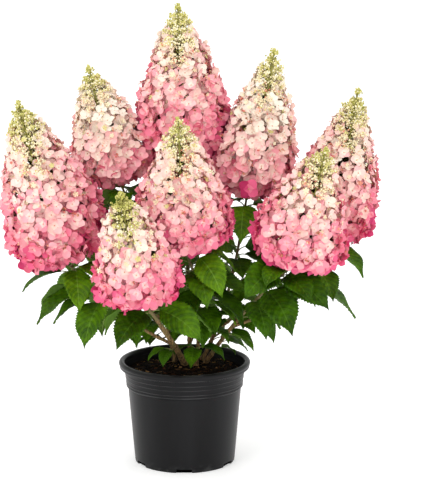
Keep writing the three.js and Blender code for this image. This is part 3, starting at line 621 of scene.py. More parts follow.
class Leaf:
    """One leaf: where its stalk grows, where its blade starts, and how the blade turns and droops."""

    def __init__(self, root, heading, pitch, droop, roll, length, stalk):
        heading, self.pitch, self.droop, self.roll = np.radians((heading, pitch, droop, roll))
        self.root, self.length, self.stalk = root, length, stalk
        self.out = level_way(heading)
        self.start = root + stalk * (self.out * math.cos(STALK_RISE) + (0, 0, math.sin(STALK_RISE)))

    def sections(self, shares):
        """Middles, sideways and upward directions and half widths of the blade at shares of its length."""
        shares = np.asarray(shares, float)[:, None]
        bend = self.droop - self.pitch
        angle = self.pitch + bend * shares
        along = self.length * (np.sin(angle) - math.sin(self.pitch)) / bend
        rise = -self.length * (np.cos(angle) - math.cos(self.pitch)) / bend
        middle = self.start + self.out * along + np.array((0, 0, 1)) * rise
        flat = np.array((-self.out[1], self.out[0], 0))
        upright = -self.out * np.sin(angle) + np.array((0, 0, 1)) * np.cos(angle)
        side = flat * math.cos(self.roll) + upright * math.sin(self.roll)
        face = upright * math.cos(self.roll) - flat * math.sin(self.roll)
        return middle, side, face, self.length * LEAF_HALF_WIDTH * leaf_outline(shares)

    def samples(self):
        """Points on the blade and one on the stalk, by which the leaf is kept clear of all else."""
        shares, sides = np.array(SAMPLES).T
        middle, side, face, half = self.sections(shares)
        sides = sides[:, None]
        blade = middle + side * sides * half * math.cos(LEAF_FOLD)
        blade += face * abs(sides) * half * math.sin(LEAF_FOLD)
        return np.vstack((self.root + 0.75 * (self.start - self.root), blade))


def head_outline(share):
    """Radius of a flower head at shares of its length from the tip, 1 at its widest."""
    share = np.asarray(share, float)
    cone = np.sin(np.pi * np.clip(share, 0, WIDEST) / (2 * WIDEST))
    foot = np.sqrt(np.clip(1 - ((share - WIDEST) / (HEAD_CLOSE - WIDEST)) ** 2, 0, 1))
    return np.where(share < WIDEST, cone, foot)


def inside_head(points, cane, margin):
    """Which points lie in a cane's flower head, made larger by a margin."""
    from_tip = points - cane.tip
    down = -from_tip @ cane.axis
    out = np.linalg.norm(from_tip + down[:, None] * cane.axis, axis=1)
    reached = (down >= -margin) & (down <= cane.length * HEAD_CLOSE + margin)
    return reached & (out < head_outline(down / cane.length) * cane.radius + margin)


limb_points, limb_radii, limb_names = [], [], []
for name, cane in canes.items():
    steps = math.ceil(cane.reach / 8)
    for i in range(steps + 1):
        limb_points.append(cane.point(i / steps))
        limb_radii.append(cane.wide(i / steps))
        limb_names.append(name)
limb_points, limb_radii, limb_names = np.array(limb_points), np.array(limb_radii), np.array(limb_names)
taken_points, taken_names = np.zeros((0, 3)), np.zeros(0, "U12")


def is_free(points, own):
    """True if a leaf keeps clear of the pot, the flower heads, the other limbs and the leaves before it."""
    out = np.hypot(points[:, 0], points[:, 1])
    lowest = np.where(out < MOUTH_RADIUS, MIX_TOP_Z + OVER_MIX, np.where(out < PAST_RIM, OVER_RIM_Z, 0))
    if (points[:, 2] < lowest).any():
        return False
    for name, cane in canes.items():
        if inside_head(points, cane, -HEAD_GAP if name == own else HEAD_GAP).any():
            return False
    clear = limb_radii + np.where(limb_names == own, *LIMB_GAPS)
    if (np.linalg.norm(points[:, None] - limb_points, axis=2) < clear).any():
        return False
    middle = points.mean(0)
    within = np.linalg.norm(points - middle, axis=1).max() + LEAF_GAPS[1] + 1
    near = np.linalg.norm(taken_points - middle, axis=1) < within
    clear = np.where(taken_names[near] == own, *LEAF_GAPS)
    return not (np.linalg.norm(points[:, None] - taken_points[near], axis=2) < clear).any()


def settled(own, root, heading, pitch, droop, roll, length, stalk):
    """A leaf as first drawn, then turned, lifted and shortened in a fixed order until it is free."""
    global taken_points, taken_names
    for size, lift, swing in FITTINGS:
        leaf = Leaf(root, heading + swing, pitch, droop + lift, roll, length * size, stalk)
        points = leaf.samples()
        if is_free(points, own):
            taken_points = np.vstack((taken_points, points))
            taken_names = np.append(taken_names, [own] * len(points))
            return leaf
    return None


shoot_leaves = {name: [] for name in canes}
for name, cane in canes.items():
    for at, heading, pitch, roll, length, stalk in FRONT_LEAVES.get(name, ()):
        leaf = settled(name, cane.point(at), heading, pitch, pitch - LEAF_BEND, roll, length, stalk)
        shoot_leaves[name].append(leaf)
for seed, (name, cane) in enumerate(canes.items(), 1):
    draw = seeded(seed)
    for pair in range(4):                                       # lower pairs are larger and hang more
        share = cane.share_below(FIRST_JOINT + JOINT_SPACING * pair)
        grown = min(1, 0.74 + 0.16 * pair)
        for half in (0, 180):
            heading = cane.turn + 90 * pair + half + spread(draw, 24)
            pitch = 8 - 10 * pair + spread(draw, 24)
            droop, roll = spread(draw, 26) - 68, spread(draw, 30)
            length = LEAF_LENGTH * grown * (0.86 + 0.28 * next(draw))
            if share > cane.leafy + 0.02:
                leaf = settled(name, cane.point(share), heading, pitch, droop, roll, length, LEAF_STALK)
                shoot_leaves[name].append(leaf)
low_leaves, low_twigs = {}, {}
for seed, (name, stem, at, heading, reach, rise, size) in enumerate(LOW_SHOOTS, 51):
    draw = seeded(seed)
    root = canes[stem].point(at)
    end = root + reach * level_way(math.radians(heading)) + (0, 0, rise)
    low_twigs[name], low_leaves[name] = (root, end), []
    for turn in (0, 105, -105):
        leaf_heading = heading + turn + spread(draw, 20)
        pitch, droop, roll = spread(draw, 20), spread(draw, 20) - 64, spread(draw, 24)
        length = LEAF_LENGTH * size * (0.9 + 0.2 * next(draw))
        joint = root + (0.85 if turn else 0.98) * (end - root)
        leaf = settled(stem, joint, leaf_heading, pitch, droop, roll, length, LOW_STALK)
        low_leaves[name].append(leaf)
for seed, name in enumerate(INNER_LEAVES_ON, 81):
    cane, draw = canes[name], seeded(seed)
    for pair in range(12):
        share = cane.share_below(FIRST_JOINT + JOINT_SPACING * (pair + 1) / 2)
        for half in (0, 180):
            heading = cane.turn + 90 * pair + half + spread(draw, 60)
            pitch, roll = 10 - 30 * next(draw), spread(draw, 40)
            length = INNER_LENGTH * (0.85 + 0.3 * next(draw))
            if share > 0.16:
                leaf = settled(name, cane.point(share), heading, pitch, pitch - LEAF_BEND, roll, length,
                               INNER_STALK)
                shoot_leaves[name].append(leaf)

LEAF_GREENS = (
    # name, dark, bright and vein colour
    ("leaf_deep_green", (0.01, 0.038, 0.0005, 1), (0.062, 0.162, 0.0017, 1), (0.11, 0.24, 0.02, 1)),
    ("leaf_green", (0.016, 0.056, 0.0006, 1), (0.1, 0.238, 0.0032, 1), (0.17, 0.33, 0.035, 1)),
    ("leaf_fresh_green", (0.034, 0.1, 0.0008, 1), (0.15, 0.32, 0.006, 1), (0.24, 0.44, 0.06, 1)),
)
LEAF_SHARES, UNDERSIDE = (0.34, 0.44, 0.22), len(LEAF_GREENS)
making = bmesh.new()
bmesh.ops.create_grid(making, x_segments=LEAF_COLUMNS, y_segments=LEAF_ROWS, size=1)
flat = making.loops.layers.uv.new("blade")
bmesh.ops.solidify(making, geom=making.faces[:], thickness=1)
thickest = max(v.co.z for v in making.verts)
for vertex in making.verts:
    vertex.co.z -= thickest
    vertex.co.y = BLADE_FOOT + BLADE_RUN * (vertex.co.y + 1) / 2
for face in making.faces:
    face.material_index = UNDERSIDE if face.calc_center_median().z < -0.9 else 0
    for loop in face.loops:
        loop[flat].uv = (loop.vert.co.x / 2 + 0.5, loop.vert.co.y)
bmesh.ops.recalc_face_normals(making, faces=making.faces)
blade = shape_of(making)


def leaf_corners(leaf, phase):
    """The blade's template on a leaf: folded, quilted between its veins, waved and toothed at its edge."""
    across, share, deep = blade["corners"].T
    row = np.round((share - BLADE_FOOT) / BLADE_RUN * LEAF_ROWS)
    edge = (np.abs(across) > 0.99) & (share > 0.06) & (share < 0.97)
    tooth = row % 2 == 1
    middle, side, face, half = leaf.sections(np.where(edge & tooth, share + 0.4 / LEAF_ROWS, share))
    scale = leaf.length / LEAF_LENGTH
    toothed = np.where(edge, np.where(tooth, TOOTH_TIP, TOOTH_DIP), 1)
    pointed = 1 - LEAF_TIP * np.clip((share - 0.68) / 0.24, 0, 1) ** 1.5
    vein = share - VEIN_SLANT * np.abs(across) ** VEIN_CURVE
    quilt = 1.4 * np.cos(math.tau * LEAF_VEINS * vein) * (1 - across ** 4) * np.clip(share * 6, 0, 1)
    midrib = -1.3 * np.exp(-(across / 0.16) ** 2) * (1 - share)
    wave = 1.6 * np.sin(math.tau * 2.3 * share + phase + np.sign(across)) * across ** 2
    raised = np.abs(across) ** 1.25 * half[:, 0] * math.sin(LEAF_FOLD)
    raised += (quilt + midrib + wave) * scale + 0.45 * deep
    rounded = np.clip(share / 0.2, 0, 1) ** 0.4
    out = across * half[:, 0] * toothed * pointed * rounded * math.cos(LEAF_FOLD)
    return middle + side * out[:, None] + face * raised[:, None]


def on_blade(place, axis):
    """How far a point lies across the blade, along X, or towards its tip, along Y, from 0 to 1."""
    return place.node("SeparateXYZ", {}, {"Vector": place.node("UVMap", {"uv_map": "blade"}, {})}, axis)


def leaf_finish(name, dark, bright, vein):
    """A leaf green, blotched, with pale veins, a fine net, and painted shade and light of its quilting."""
    material, place, shader = new_finish(name, Specular_IOR_Level=0.13)
    across = abs(on_blade(place, "X") * 2 - 1)
    phase = (on_blade(place, "Y") - across ** VEIN_CURVE * VEIN_SLANT) * LEAF_VEINS
    from_vein = 1 - abs(place.worked("FRACT", phase) - 0.5) * 2
    side_veins = (1 - from_vein.rise(0.0, 0.14)) * (1 - across.rise(0.6, 1))
    midrib = 1 - across.rise(0.015, 0.06)
    veins = place.worked("MAXIMUM", side_veins * 0.7, midrib)
    net_places = {"Vector": place, "Scale": 420}
    net = place.node("TexVoronoi", {"feature": "DISTANCE_TO_EDGE"}, net_places, "Distance")
    blotches = place.grain(45, 3)
    # Random blotches, plus painted shade beside the veins and painted light on the puckers between them.
    blotches_and_painted_quilt_light = blotches.rise(0.3, 0.7) * 0.6 + 0.4 * from_vein.rise(0.05, 0.95)
    feed(shader, Base_Color=(veins * 0.45).blend(blotches_and_painted_quilt_light.blend(dark, bright), vein),
         Roughness=0.36 + 0.14 * blotches + 0.1 * veins,
         Normal=bumped(net.rise(0.0, 0.25) - 1.2 * veins, 0.35, 0.0006))
    return material


leaf_finishes = [leaf_finish(*row) for row in LEAF_GREENS]
underside, place, shader = new_finish("leaf_underside", Specular_IOR_Level=0.12)
across = abs(on_blade(place, "X") * 2 - 1)
feed(shader, Base_Color=(1 - across.rise(0.02, 0.1)).blend((0.075, 0.155, 0.016, 1), (0.22, 0.32, 0.08, 1)),
     Roughness=0.62 + 0.2 * place.grain(300, 3))

leaf_rng = np.random.default_rng(11)
for prefix, leafy_nodes in (("leaves_", shoot_leaves), ("low_leaves_", low_leaves)):
    for name, leaves in leafy_nodes.items():
        blades = Bundle()
        for leaf in filter(None, leaves):
            look = leaf_rng.choice(len(LEAF_GREENS), p=LEAF_SHARES)
            looks = np.where(blade["looks"] == UNDERSIDE, UNDERSIDE, look)
            blades.add(blade, leaf_corners(leaf, leaf_rng.uniform(0, math.tau)), looks[None])
        blades.joined("blades_" + prefix + name, leaf_finishes + [underside], "foliage", [prefix + name])

shoot_bark, place, shader = new_finish("shoot_bark", Specular_IOR_Level=0.4)
fissures = place.grain(500, 4, (1, 1, 0.2))
greener = (0.5 * fissures + 0.5 * place.grain(30, 2)).rise(0.35, 0.65)
feed(shader, Base_Color=greener.blend((0.15, 0.085, 0.04, 1), (0.2, 0.17, 0.06, 1)),
     Roughness=0.55 + 0.2 * fissures, Normal=bumped(fissures, 0.4, 0.0006))
stalk_green, place, shader = new_finish("stalk_green", Specular_IOR_Level=0.4)
paler = place.grain(120, 3).rise(0.3, 0.7)
feed(shader, Base_Color=paler.blend((0.11, 0.17, 0.035, 1), (0.26, 0.3, 0.09, 1)),
     Roughness=0.45 + 0.2 * place.grain(300, 2))


def shoot_relief(cane):
    """The same for a shoot, which is smoother."""
    def relief(share, angle):
        return 0.7 * joint_swelling(cane, share) + 0.12 * noise.noise(Vector((angle, share * 40, 1)))
    return relief


twigs = Bundle()
shoot_stick, leaf_stick = stick(10, 40), stick(7, 5)
for name, cane in canes.items():
    twigs.add(shoot_stick, along_cane(cane, shoot_stick, cane.leafy - 0.01, 1, shoot_relief(cane)), 0)


def leaf_stalk(leaf):
    """The stick laid from the shoot to the blade along a gentle arch, thickest where it clasps the shoot."""
    x, y, level = leaf_stick["corners"].T
    run = leaf.start - leaf.root
    arch = 0.09 * leaf.stalk * np.sin(math.pi * level)
    middle = leaf.root + level[:, None] * run + arch[:, None] * (0, 0, 1)
    side = np.array((-leaf.out[1], leaf.out[0], 0))
    above = np.cross(unit_rows(run), side)
    wide = (1.0 + 1.1 * np.exp(-level * 7)) * (0.7 + 0.3 * leaf.length / LEAF_LENGTH)
    return middle + (side * x[:, None] + above * y[:, None]) * wide[:, None]


for leaves in (*shoot_leaves.values(), *low_leaves.values()):
    for leaf in filter(None, leaves):
        twigs.add(leaf_stick, leaf_stalk(leaf), 1)


def rods(shape, starts, ends, thick, thin):
    """A stick for each pair of ends, tapering from thick to thin."""
    run = ends - starts
    long = np.linalg.norm(run, axis=1, keepdims=True)
    across, beside = frames_on(run / long, np.zeros(len(run)))
    x, y, level = shape["corners"].T
    wide = thick + (thin - thick) * level
    spokes = across[:, None] * (x * wide)[None, :, None] + beside[:, None] * (y * wide)[None, :, None]
    return starts[:, None] + level[None, :, None] * run[:, None] + spokes


roots, ends = (np.array(kind) for kind in zip(*low_twigs.values()))
low_stick = stick(8, 6)
twigs.add(low_stick, rods(low_stick, roots, ends, 1.9, 1.2), 0)
twigs.joined("shoots_and_leaf_stalks", [shoot_bark, stalk_green], "foliage")


# Each flower head is a cone of open florets, in two layers, on thin side stalks round a central one. A
# floret is four broad papery petals that age from cream to pink. The tip is still in bud: tufts of lime and
# cream beads in four ranks, with the stalk's line in the seams. Buds and small stars fill in lower down.
GOLDEN_ANGLE = math.pi * (3 - math.sqrt(5))
PETAL_TINTS = (
    ("petal_straw", "F1E7C0"), ("petal_ivory", "F6EADA"), ("petal_cream", "F7E1D1"),
    ("petal_blush", "F8D4CA"), ("petal_shell", "F6C1BF"), ("petal_pale_pink", "F4ABB2"),
    ("petal_pink", "F095A4"), ("petal_mid_pink", "EB7D95"), ("petal_rose", "E56289"),
    ("petal_deep_rose", "D8487A"), ("petal_raspberry", "C03064"),
)
BUD_TINTS = (
    ("bud_lime", "BDBA62"), ("bud_yellow_lime", "DCD488"), ("bud_cream", "F8EEC8"), ("bud_straw", "F5E1BB"),
    ("bud_peach", "EBA888"), ("bud_salmon", "DE8070"), ("bud_tan", "A8704C"),
)
# Partly painted light: the shaded upper_left and upper_right heads are paler, the well-lit front_right
# deeper.
HEAD_TONES = {"top": 0.9, "left": 0.8, "front_left": 0.9, "front": 0.6, "front_right": 1.1, "right": 0.5,
              "upper_left": -0.9, "upper_right": -0.7, "back": 0.3, "back_left": 0.2, "back_right": 0.3}
BUD_TONES = {"front_left": -0.9, "front": 0.5, "front_right": 0.4}
FLORET_RADIUS, FULL_HEAD, FOOT_RISE = 13.6, 75, 15          # florets grow full size on a head this wide
OTHER_HEAD_GAP, BLADE_GAP = 1, 6
PINK_FROM, PINK_OVER, PALEST, PINKER_BELOW, PINKER_BESIDE = 0.2, 0.75, 1.3, 6, 2.6
FULLER_AT, FULLER_BY = (0, 0.05, 0.1, 0.2, 0.35, 0.5, 0.8, 1), (1, 1.5, 3, 3, -1, -1.5, -2.5, -3)
SEAM_AT, SEAM_WIDE = (0.13, 0.2, 0.28, 0.36, 0.42), (20, 15, 9, 4, 0)
RANKS_AT, RANKS_OPEN = (0.12, 0.24, 0.4), (1, 0.5, 0.16)
FIRST_RANK, LAST_RANK, RANK_SPACING = 7, 0.4, 12
TIP_TUFTS = ((0.006, 1.2, 12), (0.02, 1.6, 14))              # how low, width, number of buds
SEAM_TUFTS = (
    # how much lower, how far aside, part of the radius, width, number of buds, how much deeper in tint
    (0.02, 0.32, 0.68, 2.6, 12, 0.5), (0.01, 0.9, 0.6, 3.2, 12, 0.5), (0.015, 0.1, 0.5, 2.6, 10, 0),
)
LOW_TUFTS, LOW_TUFTS_FROM, LOW_TUFTS_TO, LOW_TUFT_DEPTHS = 120, 0.28, 0.9, (4, 12)
STARS, STARS_FROM, STARS_TO, STAR_DEPTHS, STAR_SIZES = 260, 0.1, 0.62, (2, 11), (2.8, 4.8)
SIDE_STALK, STALK_LINE, CENTRAL_STALK = (0.85, 0.45), (1.1, 1.0), (2.3, 0.9)
LONE_FLORET, LONE_SIZE, LONE_TONE = (101, -32, 447), 17.0, 9.5


def paint(code):
    """A colour of a shader from its usual six figures."""
    levels = [int(code[i:i + 2], 16) / 255 for i in (0, 2, 4)]
    return (*(level / 12.92 if level < 0.04 else ((level + 0.055) / 1.055) ** 2.4 for level in levels), 1)


petal_finishes = [new_finish(name, Base_Color=paint(code), Roughness=0.6, Specular_IOR_Level=0.25)[0]
                  for name, code in PETAL_TINTS]
bud_finishes = [new_finish(name, Base_Color=paint(code), Roughness=0.5, Specular_IOR_Level=0.35)[0]
                for name, code in BUD_TINTS]
floret_eye = new_finish("floret_eye", Base_Color=paint("D8A080"), Roughness=0.5)[0]
DEEPEST, EYE, EYE_LOOK = len(PETAL_TINTS) - 1, len(PETAL_TINTS), 8


def spun_copies(making, copies):
    """What a bmesh holds, repeated round Z until it has that many copies."""
    bmesh.ops.spin(making, geom=making.verts[:] + making.edges[:] + making.faces[:], cent=(0, 0, 0),
                   axis=(0, 0, 1), angle=math.tau * (copies - 1) / copies, steps=copies - 1,
                   use_duplicate=True)


def floret_shape(cup, twist, ruffle, columns=4):
    """Four overlapping petals round a small eye, of radius 1, facing +Z.

    The look of a face is twice the number of its petal, one more next to the eye, and 8 on the eye."""
    making = bmesh.new()
    bmesh.ops.create_grid(making, x_segments=columns, y_segments=3, size=1)
    for vertex in making.verts:
        across, along = vertex.co.x, (vertex.co.y + 1) / 2
        half = 0.11 + 0.42 * math.sin(math.pi * (0.78 * along) ** 0.9)
        vertex.co = (across * half, 0.04 + 0.96 * along - 0.2 * across ** 2 * along,
                     cup * along ** 2 + (0.16 * across ** 2 + twist * across) * along
                     + ruffle * math.sin(3.1 * across + 2) * along ** 2)
    spun_copies(making, 4)
    for face in making.faces:
        middle = face.calc_center_median()
        petal = round(math.atan2(middle.y, middle.x) / (math.pi / 2)) % 4
        face.material_index = 2 * petal + (math.hypot(middle.x, middle.y) < 0.35)
        if face.normal.z < 0:
            face.normal_flip()
    eye = bmesh.ops.create_cone(making, cap_ends=True, segments=5, radius1=0.1, radius2=0.03, depth=0.1,
                                matrix=Matrix.Translation((0, 0, 0.05)))
    for face in {face for vertex in eye["verts"] for face in vertex.link_faces}:
        face.material_index = EYE_LOOK
    return shape_of(making)


outer_florets = [floret_shape(0.1, 0.14, 0.06), floret_shape(0.28, 0.16, 0.04),
                 floret_shape(-0.12, 0.15, 0.08), floret_shape(0.45, 0.12, 0.05)]
inner_florets = [floret_shape(0.1, 0.14, 0.06, 2), floret_shape(0.28, 0.16, 0.04, 2)]
FLORET_LAYERS = (
    # shapes, how often they cover the head, least and most depth, and where the layer starts
    (outer_florets, 1.6, 2, 8, 0.13), (inner_florets, 2.1, 8, 15, 0.18),
)
making = bmesh.new()
bmesh.ops.create_icosphere(making, subdivisions=1, radius=1, matrix=Matrix.Diagonal((1, 1, 1.2, 1)))
bud = shape_of(making)
making = bmesh.new()
bmesh.ops.create_grid(making, x_segments=1, y_segments=1, size=1)
for vertex in making.verts:
    along = (vertex.co.y + 1) / 2
    vertex.co = (vertex.co.x * (0.12 + 0.3 * along), 0.1 + 0.9 * along, 0.3 * along)
spun_copies(making, 5)
star = shape_of(making)
rod = stick(4, 0)

head_stalk, place, shader = new_finish("head_stalk", Specular_IOR_Level=0.35)
paler = place.grain(90, 3).rise(0.3, 0.7)
feed(shader, Base_Color=paler.blend(paint("78742E"), paint("A09C50")),
     Roughness=0.55 + 0.2 * place.grain(400, 2))


class Head:
    """One flower head: its surface, over which florets and buds are strewn, and what has grown on it."""

    def __init__(self, cane, seed):
        self.cane, self.seed, self.rng = cane, seed, np.random.default_rng(100 + seed)
        self.scale = math.sqrt(cane.radius / FULL_HEAD)
        self.front = unit_rows(np.array((0, -1.0, 0)) + cane.axis * cane.axis[1])
        self.beside = np.cross(cane.axis, self.front)
        self.shares = np.linspace(0, HEAD_CLOSE, 400)
        radii = head_outline(self.shares) * cane.radius
        run = np.hypot(np.diff(self.shares) * cane.length, np.diff(radii))
        self.area = np.concatenate(([0], np.cumsum(math.pi * run * (radii[1:] + radii[:-1]))))
        self.petals, self.beads, self.stalks = Bundle(), Bundle(), Bundle()
        self.stalk_ends, self.spots, self.spot_looks, self.ribs = [], [], [], []

    def radius(self, share):
        """Out to the florets, which fill the cone's shoulders and draw in at its foot."""
        return head_outline(share) * self.cane.radius + np.interp(share, FULLER_AT, FULLER_BY)

    def outward(self, angle):
        """Directions out of the head, at angles from the side that faces the front."""
        angle = np.asarray(angle, float)[..., None]
        return self.front * np.cos(angle) + self.beside * np.sin(angle)

    def at(self, share, outward, out):
        """Places at shares of the head's length from its tip, some way out from its axis."""
        share, out = np.asarray(share, float)[..., None], np.asarray(out, float)[..., None]
        return self.cane.tip - share * self.cane.length * self.cane.axis + outward * out

    def strewn(self, count, first, turn):
        """Shares and angles of places that wind round the head at the golden angle, evenly by area."""
        steps = np.arange(count)
        start = np.interp(first, self.shares, self.area)
        area = start + (self.area[-1] - start) * (steps + self.rng.uniform(0.25, 0.75, count)) / count
        share = np.interp(area, self.area, self.shares)
        return share, steps * GOLDEN_ANGLE + turn + self.rng.normal(0, 0.07, count)

    def facing(self, share, angle):
        """Directions out of the head's surface. Low florets still look outwards rather than down."""
        slope = (self.radius(share + 0.01) - self.radius(share - 0.01)) / (0.02 * self.cane.length)
        return unit_rows(self.outward(angle) + np.clip(slope, -0.7, 1.6)[:, None] * self.cane.axis)

    def open_florets(self, florets, share, angle, depth, deeper):
        """Florets at places on the head, some way under its outline, tinted by height, side and chance."""
        count, rng = len(share), self.rng
        outward = self.outward(angle)
        out = np.maximum(self.radius(share) - depth + rng.uniform(-1.5, 1, count), 4)
        low = np.minimum(share, 1 - (FOOT_RISE + rng.uniform(-9, 7, count)) / self.cane.length)
        centres = self.at(low, outward, out)
        facing = unit_rows(self.facing(share, angle) + rng.normal(0, 0.3, (count, 3)) + (0, 0, 0.1))
        grown = np.clip(0.6 + 0.45 * share, 0, 1) * self.scale
        size = FLORET_RADIUS * grown * rng.uniform(0.88, 1.14, count)
        down, beside = np.clip((share - PINK_FROM) / PINK_OVER, 0, 1), np.minimum(1 - np.cos(angle), 1)
        tone = PALEST + PINKER_BELOW * down ** 1.1 + HEAD_TONES[self.cane.name]
        # The deeper term is painted shade: it tints the inner layer, seen in the gaps between outer florets,
        # deeper pink.
        tone += deeper + rng.normal(0, 0.5, count)
        tone += PINKER_BESIDE * (beside - 0.5) * np.clip(3 * down, 0, 1)
        from_seam = np.abs((angle + math.pi / 2) % math.pi - math.pi / 2) * out
        budded = from_seam <= np.interp(share, SEAM_AT, SEAM_WIDE)
        free = clear_of_others(centres + facing * 4, self.cane) & ~budded
        self.grow(florets, centres[free], facing[free], size[free], tone[free])
        roots = self.at(low + 0.07, outward, out * 0.1)
        self.stalk_ends.append(np.stack((roots, centres - facing), 1)[free])

    def grow(self, florets, centres, facing, size, tone):
        """Florets of mixed shapes, each petal a little paler or deeper than the next."""
        kind = self.rng.integers(0, len(florets), len(centres))
        shift = self.rng.choice((-1, 0, 0, 0, 1), (len(centres), 4))
        turns = self.rng.uniform(0, math.tau, len(centres))
        for variant, floret in enumerate(florets):
            chosen = kind == variant
            if chosen.any():
                petal, by_eye = np.minimum(floret["looks"], EYE_LOOK - 1) // 2, floret["looks"] % 2
                looks = np.round(tone[chosen, None] + shift[chosen][:, petal] - 1.3 * by_eye)
                looks = np.where(floret["looks"] == EYE_LOOK, EYE, np.clip(looks, 1, DEEPEST))
                corners = placed(floret, centres[chosen], facing[chosen], turns[chosen], size[chosen])
                self.petals.add(floret, corners, looks)

    def tuft(self, share, angle, out, wide, count, tone):
        """A cluster of buds at the end of a side branch."""
        outward = self.outward(angle)
        centre = self.at(share, outward, out)
        self.spots.append(centre + self.rng.normal(0, wide, (count, 3)) * (1, 1, 0.85))
        self.spot_looks.append(np.round(self.rng.normal(tone, 0.7, count)))
        self.stalk_ends.append(np.stack((self.at(share + 0.03, outward, 0.5), centre))[None])

    def fork(self, share, angle, out, swing):
        """A bare side branch that leaves the line of the stalk and rises into the tufts beside it."""
        start = self.at(share, self.outward(angle), out)
        end = self.at(share - 0.03, self.outward(angle + swing), out + 1)
        self.stalk_ends.append(np.stack((start, end))[None])

    def open_layers(self):
        """Both layers of florets, the inner one a little deeper in tint as painted shade."""
        floret_area = math.pi * (FLORET_RADIUS * self.scale) ** 2
        for layer, (florets, cover, near, far, first) in enumerate(FLORET_LAYERS):
            count = int(cover * self.area[-1] / floret_area)
            share, angle = self.strewn(count, first, self.seed + layer * 1.3)
            self.open_florets(florets, share, angle, self.rng.uniform(near, far, count), 0.9 * layer)

    def rank(self, rank, share, level, radius, tone):
        """Tufts side by side over a quarter of the head, further down only those next to its open seam."""
        wide, quarter = 1.9 + 0.035 * radius, radius * math.pi / 2
        seats = max(1, int((quarter - 2) / (4 * wide)))
        margin = min(2.4 / quarter, 0.2)
        for seat in range(seats):
            across = margin + (1 - 2 * margin) * (seat + 0.5) / seats
            from_open_seam = across if rank % 2 == 0 else 1 - across
            if from_open_seam <= np.interp(level, RANKS_AT, RANKS_OPEN):
                angle = (rank + across) * math.pi / 2 + self.rng.normal(0, 0.05)
                out = max(radius - 4 + self.rng.normal(0, 1), 3.4)
                self.tuft(share + self.rng.normal(0, 0.005), angle, out, wide, int(10 + 0.32 * radius), tone)

    def seam(self, seam, share, radius, tone):
        """A step of the stalk's line down an open seam, with tufts and a bare side branch on both sides."""
        out = 0.8 * radius - 1
        self.ribs.append(self.at(share, self.outward(seam), out))
        if radius > 9:
            for side in (-1, 1):
                for lower, aside, part, wide, count, deeper in SEAM_TUFTS:
                    self.tuft(share + lower, seam + side * aside, part * radius, wide, count, tone + deeper)
                self.fork(share, seam, out, side * 7 / radius)

    def budding_tip(self):
        """The tip's own two tufts, then the four ranks and the two open seams, level by level."""
        for share, wide, count in TIP_TUFTS:
            self.tuft(share, 0, 0, wide, count, 0)
        length = self.cane.length
        for down in np.arange(FIRST_RANK, LAST_RANK * length, RANK_SPACING):
            radius = float(self.radius(down / length))
            for rank in range(4):
                share = (down + self.rng.normal(0, 1)) / length
                tone = min(0.1 + 8 * share, 2.4) + BUD_TONES.get(self.cane.name, 0)
                self.rank(rank, share, down / length, radius, tone)
            for seam in (0, math.pi):                           # level with the last of the four ranks
                self.seam(seam, share, radius, tone)

    def low_tufts(self):
        """Tufts of late buds under the florets, from straw to salmon at the foot."""
        for share, angle in zip(*self.strewn(LOW_TUFTS, LOW_TUFTS_FROM, self.seed * 2.1)):
            out = float(self.radius(share)) - self.rng.uniform(*LOW_TUFT_DEPTHS)
            place = self.at(share, self.outward(angle), out)
            if share < LOW_TUFTS_TO and clear_of_others(place[None], self.cane)[0]:
                self.tuft(share, angle, out, 2.6, 8, 2.8 + 2.6 * share + self.rng.normal(0, 0.6))

    def stars(self):
        """Small flowers of five narrow petals that open among the buds."""
        rng = self.rng
        share, angle = self.strewn(STARS, STARS_FROM, self.seed * 0.7)
        share, angle = share[share < STARS_TO], angle[share < STARS_TO]
        out = np.maximum(self.radius(share) - rng.uniform(*STAR_DEPTHS, len(share)), 1)
        spots = self.at(share, self.outward(angle), out)
        facing = unit_rows(self.facing(share, angle) + rng.normal(0, 0.4, spots.shape))
        looks = np.clip(np.round(1.2 + 2 * share + rng.normal(0, 0.7, len(share))), 1, 4)
        free = clear_of_others(spots, self.cane)
        turns, sizes = rng.uniform(0, math.tau, free.sum()), rng.uniform(*STAR_SIZES, free.sum())
        self.beads.add(star, placed(star, spots[free], facing[free], turns, sizes), looks[free][:, None])

    def lone_floret(self):
        """One large floret that hangs below the head on a long stalk."""
        self.grow(outer_florets, np.array([LONE_FLORET]), np.array([(0, -1, 0.1)]), np.array([LONE_SIZE]),
                  np.array([LONE_TONE]))
        self.stalk_ends.append(np.array([[self.cane.base, LONE_FLORET]]))

    def joined(self):
        """The head as three objects: florets, buds and stalks."""
        name, rng = self.cane.name, self.rng
        spots = np.vstack(self.spots)
        looks = np.clip(np.concatenate(self.spot_looks), 0, len(BUD_TINTS) - 1)
        facing = unit_rows(rng.normal(0, 0.5, spots.shape) + self.cane.axis)
        sizes = rng.uniform(1.15, 1.8, len(spots))
        self.beads.add(bud, placed(bud, spots, facing, np.zeros(len(spots)), sizes), looks[:, None])
        starts, ends = np.vstack(self.stalk_ends).transpose(1, 0, 2)
        self.stalks.add(rod, rods(rod, starts, ends, *SIDE_STALK))
        ribs = np.array(self.ribs)
        self.stalks.add(rod, rods(rod, ribs[2:], ribs[:-2], *STALK_LINE))
        foot, top = self.cane.base - self.cane.axis * (STALK + 0.5), self.cane.tip - self.cane.axis * 3
        self.stalks.add(core_stick, rods(core_stick, foot[None], top[None], *CENTRAL_STALK))
        self.petals.joined(f"florets_{name}", petal_finishes + [floret_eye], "blossom",
                           [f"flower_head_{name}"])
        self.beads.joined(f"buds_{name}", bud_finishes, "blossom")
        self.stalks.joined(f"head_stalks_{name}", [head_stalk], "blossom")


